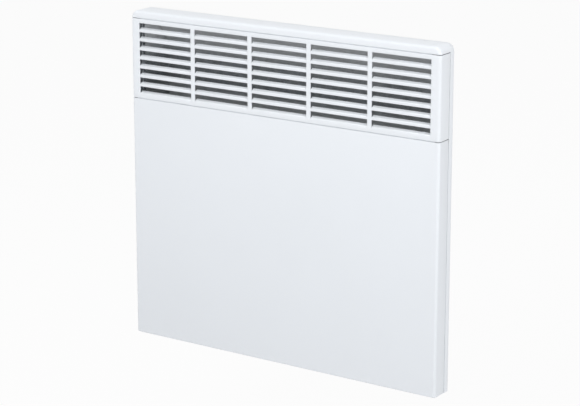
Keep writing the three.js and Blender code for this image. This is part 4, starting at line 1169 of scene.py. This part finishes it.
@dataclass
class Knob:
    """A fluted knob under the control box, with a white pointer."""

    node: str
    body: Body
    middle: Spot
    radius: float
    top: float = -329.0
    height: float = 10.0
    grips: int = 18
    flute: float = 0.7
    crown: float = 0.5
    tick_gap: float = 1.8
    mark_gap: float = 4.9
    mark_size: float = 3.9
    marks: tuple[tuple[float, Mark], ...] = ()
    ticks: tuple[float, ...] = ()

    def build(self) -> None:
        """Builds and finishes the knob, its pointer and the scale round it."""
        dress(self.cap(), GREY_ABS, self.body, self.node)
        dress(self.pointer(), WHITE_INK, self.body)
        dress(self.scale(), DARK_INK, Body.HEATER)

    def cap(self) -> Piece:
        """Builds the fluted cap with its dished face."""
        x, y = self.middle
        sides = self.grips * 6
        cap = drum(f"{self.node}_cap", self.radius, (x, y, self.top - self.height), self.height, sides=sides)
        centre = metres((x, y, self.top - self.height / 2))
        with editing(cap, Kind.FACES):
            pick(cap, Kind.FACES, lambda at, face: face.normal.z < -0.9)
            bpy.ops.mesh.inset(thickness=1.1 * MM)
            push((0, 0, -self.crown))
            for ring in (0.9, self.radius * 0.45):
                bpy.ops.mesh.inset(thickness=ring * MM)
                bpy.ops.transform.translate(value=metres((0, 0, self.crown)))
            bpy.ops.mesh.select_mode(type="VERT")

            def in_flute(at: Vector, vert: bmesh.types.BMVert) -> bool:
                turn = math.atan2(at.y - y, at.x - x) / (2 * math.pi) * self.grips % 1
                edge = math.hypot(at.x - x, at.y - y) > self.radius - 0.3
                return edge and 0.25 < turn < 0.75

            pick(cap, Kind.VERTS, in_flute)
            shrink = 1 - self.flute / self.radius
            bpy.ops.transform.resize(value=(shrink, shrink, 1), center_override=centre)

        def rim(at: Vector, edge: Edge) -> bool:
            outside = math.hypot(at.x - x, at.y - y) > self.radius - self.flute - 0.4
            return outside and near(at.z, self.top - self.height, 0.05) and not along(edge, 2)

        with editing(cap, Kind.EDGES):
            bevel_edges(cap, rim, 0.45, 2)
        smooth(cap, 30)
        return cap

    def pointer(self) -> Piece:
        """Builds the raised pointer line."""
        x, y = self.middle
        low = self.top - self.height
        length = (y - self.radius + 1.4, y - self.radius / 3)
        line = block(f"{self.node}_pointer", (x - 0.8, x + 0.8), length, (low - 0.58, low + 1))
        soften(line, 0.25, 3)
        smooth(line)
        return line

    def scale(self) -> Piece:
        """Prints the ticks and numbers round the knob, to be read from below."""
        parts = []
        for turn in self.ticks:
            tick = block("tick", (-0.35, 0.35), (-1.0, 1.0), (-0.03, 0.01))
            tick.location = metres(self.beside(turn, self.tick_gap))
            tick.rotation_euler.z = -math.radians(turn)
            parts.append(settle(tick, "tick"))
        for turn, mark in self.marks:
            parts.append(printed(mark.value, self.mark_size, self.beside(turn, self.mark_gap)))
        return weld(parts, f"{self.node}_scale")

    def beside(self, turn: float, gap: float) -> Point:
        """Gives the printed face's point at a turn in degrees, a gap away from the knob."""
        x, y = self.middle
        angle, reach = math.radians(turn), self.radius + gap
        return (x - math.sin(angle) * reach, y - math.cos(angle) * reach, self.top + 0.3)


def printed(text: str, size: float, place: Point) -> Piece:
    """Prints a mark on the underside, upright to someone who looks up from the room.

    Args:
        text: What it says.
        size: Its letter size in millimetres.
        place: Its middle, on the printed face.

    Returns:
        The mark as a thin mesh.
    """
    bpy.ops.object.select_all(action="DESELECT")
    bpy.ops.object.text_add(location=metres(place), rotation=(math.pi, 0, 0))
    mark = bpy.context.object
    mark.data.body = text
    mark.data.size = size * MM
    mark.data.align_x = "CENTER"
    mark.data.align_y = "CENTER"
    mark.data.extrude = 0.03 * MM
    mark.data.resolution_u = 4
    only(mark)
    bpy.ops.object.convert(target="MESH")
    return settle(mark, f"mark_{text}")


@dataclass
class ControlBox:
    """The control box at the lower right: its housing, fascia, knobs, rocker, lens and gland."""

    left: float = 100.0
    right: float = 210.0
    fascia: tuple[Span, Span] = ((-67.0, -16.6), (-328.7, -326.2))
    row: float = -39.0
    thermostat_x: float = 186.0
    mode_x: float = 150.0
    lens_x: float = 167.5
    rocker_x: float = 118.0
    shaft_hole: float = 3.4
    pipe_hole: float = 2.8
    rocker_hole: Spot = (6.4, 9.4)
    rocker_pivot: float = -325.9
    rocker_tilt: float = -7.0
    rocker_half: float = 7.5
    rocker_end: float = -5.48
    rocker_hollow: float = 1.2
    rocker_mark: float = 3.9
    lens_face: float = -330.0
    gland: Spot = (174.0, -306.0)

    def build(self) -> None:
        """Builds and finishes the box and everything on it."""
        dress(traced("control_housing", "moulded_housing", 0.6, 3), GREY_ABS, Body.HEATER, "control_housing")
        dress(self.cover(), WHITE_ABS, Body.HEATER, "control_fascia")
        sweep = (0.0, 45.0, 135.0, 180.0, 225.0, 270.0)
        printed_marks = (Mark.OFF, Mark.ONE, Mark.THREE, Mark.FIVE, Mark.SIX)
        numbers = tuple(zip((0.0, 45.0, 135.0, 225.0, 270.0), printed_marks))
        steps = ((0.0, Mark.OFF), (60.0, Mark.ONE), (120.0, Mark.TWO))
        warmth, mode = (self.thermostat_x, self.row), (self.mode_x, self.row)
        Knob("thermostat_knob", Body.THERMOSTAT, warmth, 13.0, marks=numbers, ticks=sweep).build()
        turns = tuple(turn for turn, _ in steps)
        Knob("mode_knob", Body.MODE, mode, 11.0, grips=15, marks=steps, ticks=turns).build()
        dress(traced("rocker_housing", "rocker_bezel", 0.35, 3), BLACK_NYLON, Body.HEATER, "rocker_housing")
        dress(traced("power_rocker", "rocker_paddle", 0.5, 3, 12), BLACK_NYLON, Body.ROCKER, "power_rocker")
        dress(self.rocker_marks(), WHITE_INK, Body.ROCKER)
        dress(self.lens(), AMBER_POLYCARBONATE, Body.HEATER, "indicator_lens")
        dress(self.cord_gland(), EPDM, Body.HEATER, "cable_gland")

    def cover(self) -> Piece:
        """Builds the fascia plate with openings for the shafts, the lens and the rocker."""
        depth, height = self.fascia
        plate = block("fascia_plate", (self.left, self.right), depth, height)
        with editing(plate, Kind.EDGES):
            bevel_edges(plate, lambda at, edge: along(edge, 2), 2.0, 5)
            bevel_edges(plate, lambda at, edge: near(at.z, height[0], 0.01), 0.5, 3)
        low, reach = height[0] - 1, height[1] - height[0] + 2
        shafts = [(self.thermostat_x, self.shaft_hole), (self.mode_x, self.shaft_hole)]
        for x, radius in (*shafts, (self.lens_x, self.pipe_hole)):
            subtract(plate, drum("bore", radius, (x, self.row, low), reach, sides=40))
        wide, deep = self.rocker_hole
        across = (self.rocker_x - wide, self.rocker_x + wide)
        subtract(plate, block("opening", across, (self.row - deep, self.row + deep), (low, low + reach)))
        smooth(plate)
        return plate

    def rocker_marks(self) -> Piece:
        """Prints a stroke for on and a ring for off on the rocker's two faces."""
        tilt = math.radians(self.rocker_tilt)
        stroke = block("on_stroke", (-0.3, 0.3), (-1.4, 1.4), (-0.04, 0.04))
        ring = drum("off_ring", 1.4, (0, 0, -0.04), 0.08, sides=32)
        subtract(ring, drum("off_hole", 0.95, (0, 0, -1), 2, sides=32))
        drop = self.rocker_hollow / self.rocker_half
        for mark, side in ((stroke, -1), (ring, 1)):
            slope = math.atan(drop) * -side
            y = self.rocker_mark * side
            z = self.rocker_end + drop * (self.rocker_half - self.rocker_mark)
            mark.location = metres((
                self.rocker_x,
                self.row + y * math.cos(tilt) - z * math.sin(tilt),
                self.rocker_pivot + y * math.sin(tilt) + z * math.cos(tilt),
            ))
            mark.rotation_euler.x = tilt + slope
            settle(mark, mark.name)
        return weld([stroke, ring], "rocker_marks")

    def lens(self) -> Piece:
        """Builds the domed indicator lens and its light pipe."""
        rim = drum("lens_dome", 3.4, (self.lens_x, self.row, self.lens_face), 1.0, sides=48)
        with editing(rim, Kind.EDGES):
            bevel_edges(rim, lambda at, edge: near(at.z, self.lens_face, 0.01), 0.85, 6)
        pipe = drum("light_pipe", 2.5, (self.lens_x, self.row, self.lens_face + 0.6), 8.4, sides=32)
        soften(pipe, 0.3)
        lens = weld([rim, pipe], "indicator_dome")
        smooth(lens, 40)
        return lens

    def cord_gland(self) -> Piece:
        """Builds the rubber gland in the tray, with nothing through it."""
        x, z = self.gland
        flange, waist, collar = (9.0, -14.7, 1.6, 0.6), (6.2, -17.4, 3.6, 0.1), (7.2, -17.9, 1.6, 0.6)
        parts = []
        for radius, start, length, edge in (flange, waist, collar):
            step = drum("gland_step", radius, (x, start, z), length, "y")
            soften(step, edge, 3)
            subtract(step, drum("gland_bore", 3.6, (x, start - 1, z), length + 2, "y"))
            parts.append(step)
        gland = weld(parts, "cord_gland")
        smooth(gland)
        return gland


# ---- Carried-over nodes ------------------------------------------------------

CARRIED: dict[str, Finish] = {
    "heat_shield": ROLLED_ALUMINIUM,
    "heating_element": EXTRUDED_ALUMINIUM,
    "element_rod": DRAWN_STEEL,
    "element_bracket_left": ZINC_SHEET,
    "element_bracket_right": ZINC_SHEET,
    "element_bush_left": STEATITE,
    "element_bush_right": STEATITE,
    "terminal_insulator_left": STEATITE,
    "terminal_insulator_right": STEATITE,
    "terminal_tab_left": ROLLED_BRASS,
    "terminal_tab_right": ROLLED_BRASS,
    "cutout_holder": ZINC_SHEET,
    "thermal_cutout": PHENOLIC,
    "probe_clip": WHITE_ABS,
    "temperature_probe": ROLLED_BRASS,
    "thermostat_shaft": ZINC_PLATED_STEEL,
    "thermostat_regulator": PHENOLIC,
    "mode_shaft": ZINC_PLATED_STEEL,
    "mode_switch": PHENOLIC,
    "control_board": SOLDER_MASK,
    "relay": BLACK_NYLON,
    "board_capacitor": BLACK_NYLON,
    "terminal_block": WHITE_ABS,
    "lead_element_right": BROWN_SLEEVE,
    "lead_element_left": BLUE_SLEEVE,
    "lead_cutout": BROWN_SLEEVE,
    "lead_probe": WHITE_SLEEVE,
}


def finish_carried_nodes() -> None:
    """Gives every CAD node that stays its finish."""
    for node, finish in CARRIED.items():
        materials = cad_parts[node].data.materials
        materials.clear()
        materials.append(finish.material())
        log.info("%s: %s", node, finish.name)


# ---- Studio ------------------------------------------------------------------


@dataclass(frozen=True)
class Softbox:
    """A square lamp: its name, place, side in millimetres and power in watts."""

    name: str
    place: Point
    size: float
    power: float


@dataclass
class Studio:
    """A pale floor, soft even light and the camera at the photograph's angle."""

    floor: float = -480.0
    glow: float = 0.94
    eye: Point = (1345.5, -2107.3, 565.6)
    bearing: float = 33.21
    dip: float = 13.96
    lens: float = 124.0
    shift: float = -0.1
    sky: float = 0.47
    middle: Point = (0.0, 0.0, -110.0)
    lamps: tuple[Softbox, ...] = (
        Softbox("front_softbox", (-150.0, -2000.0, 1250.0), 1100.0, 22.0),
        Softbox("side_softbox", (2200.0, -500.0, 600.0), 1200.0, 17.0),
        Softbox("top_softbox", (0.0, -300.0, 2200.0), 1200.0, 7.5),
    )

    def build(self) -> None:
        """Builds the floor, the light and the camera."""
        self.lay_floor()
        self.light_sky()
        for lamp in self.lamps:
            self.hang(lamp)
        self.place_camera()

    def lay_floor(self) -> None:
        """Lays the floor: near white to the eye, darkened by the shadow on it, and open from below."""
        bpy.ops.object.select_all(action="DESELECT")
        bpy.ops.mesh.primitive_plane_add(size=30, location=metres((0, 0, self.floor)))
        floor = settle(bpy.context.object, "studio_floor")
        material = bpy.data.materials.new("pale studio floor")
        material.use_nodes = True
        tree = material.node_tree
        tree.nodes.clear()
        output = add_node(tree, "ShaderNodeOutputMaterial")
        matt = add_node(tree, "ShaderNodeBsdfDiffuse", inputs={"Color": linear("#E7E7E7")})
        glow = add_node(tree, "ShaderNodeEmission", inputs={"Color": linear("#FFFFFF"), "Strength": 1.0})
        seen = self.seen_directly(tree)
        share = add_node(tree, "ShaderNodeMath", {"operation": "MULTIPLY"}, {0: seen, 1: self.glow})
        above = {0: share.outputs[0], 1: matt.outputs[0], 2: glow.outputs[0]}
        mixed = add_node(tree, "ShaderNodeMixShader", inputs=above)
        clear = add_node(tree, "ShaderNodeBsdfTransparent")
        below = add_node(tree, "ShaderNodeNewGeometry").outputs["Backfacing"]
        ways = {0: below, 1: mixed.outputs[0], 2: clear.outputs[0]}
        surface = add_node(tree, "ShaderNodeMixShader", inputs=ways)
        tree.links.new(surface.outputs[0], output.inputs["Surface"])
        floor.data.materials.append(material)

    def seen_directly(self, tree: Tree) -> Socket:
        """Gives 1 on rays from the camera, on reflections and through glass, and 0 on the rest."""
        rays = add_node(tree, "ShaderNodeLightPath").outputs
        seen = rays["Is Camera Ray"]
        for other in ("Is Glossy Ray", "Is Transmission Ray"):
            either = {0: seen, 1: rays[other]}
            seen = add_node(tree, "ShaderNodeMath", {"operation": "MAXIMUM"}, either).outputs[0]
        return seen

    def light_sky(self) -> None:
        """Surrounds the object with soft light, white where it's seen directly."""
        world = bpy.data.worlds.new("soft white room")
        bpy.context.scene.world = world
        world.use_nodes = True
        tree = world.node_tree
        tree.nodes.clear()
        output = add_node(tree, "ShaderNodeOutputWorld")
        level = {"Value": self.seen_directly(tree), "To Min": self.sky, "To Max": 1.0}
        strength = add_node(tree, "ShaderNodeMapRange", inputs=level).outputs["Result"]
        white = {"Color": linear("#FFFFFF"), "Strength": strength}
        light = add_node(tree, "ShaderNodeBackground", inputs=white)
        tree.links.new(light.outputs[0], output.inputs["Surface"])

    def hang(self, softbox: Softbox) -> None:
        """Hangs a softbox that faces the middle of the heater."""
        bpy.ops.object.light_add(type="AREA", location=metres(softbox.place))
        lamp = bpy.context.object
        lamp.name = softbox.name
        lamp.data.size = softbox.size * MM
        lamp.data.energy = softbox.power
        aim = metres(self.middle) - lamp.location
        lamp.rotation_euler = aim.to_track_quat("-Z", "Y").to_euler()

    def place_camera(self) -> None:
        """Places the camera that the photograph was matched with."""
        bpy.ops.object.camera_add(
            location=metres(self.eye), rotation=(math.radians(90 - self.dip), 0, math.radians(self.bearing))
        )
        camera = bpy.context.object
        camera.data.lens = self.lens
        camera.data.sensor_width = 36
        camera.data.shift_y = self.shift
        bpy.context.scene.camera = camera


def main() -> None:
    """Builds the heater piece by piece, then the studio round it."""
    logging.basicConfig(level=logging.INFO, format="%(message)s")
    bpy.context.scene.view_settings.view_transform = "Standard"
    Studio().build()
    Casing().build()
    OutletGrille().build()
    Back().build()
    AirGuide().build()
    ControlBox().build()
    Screws().build(screw_seats())
    finish_carried_nodes()


if __name__ == "__main__":
    main()
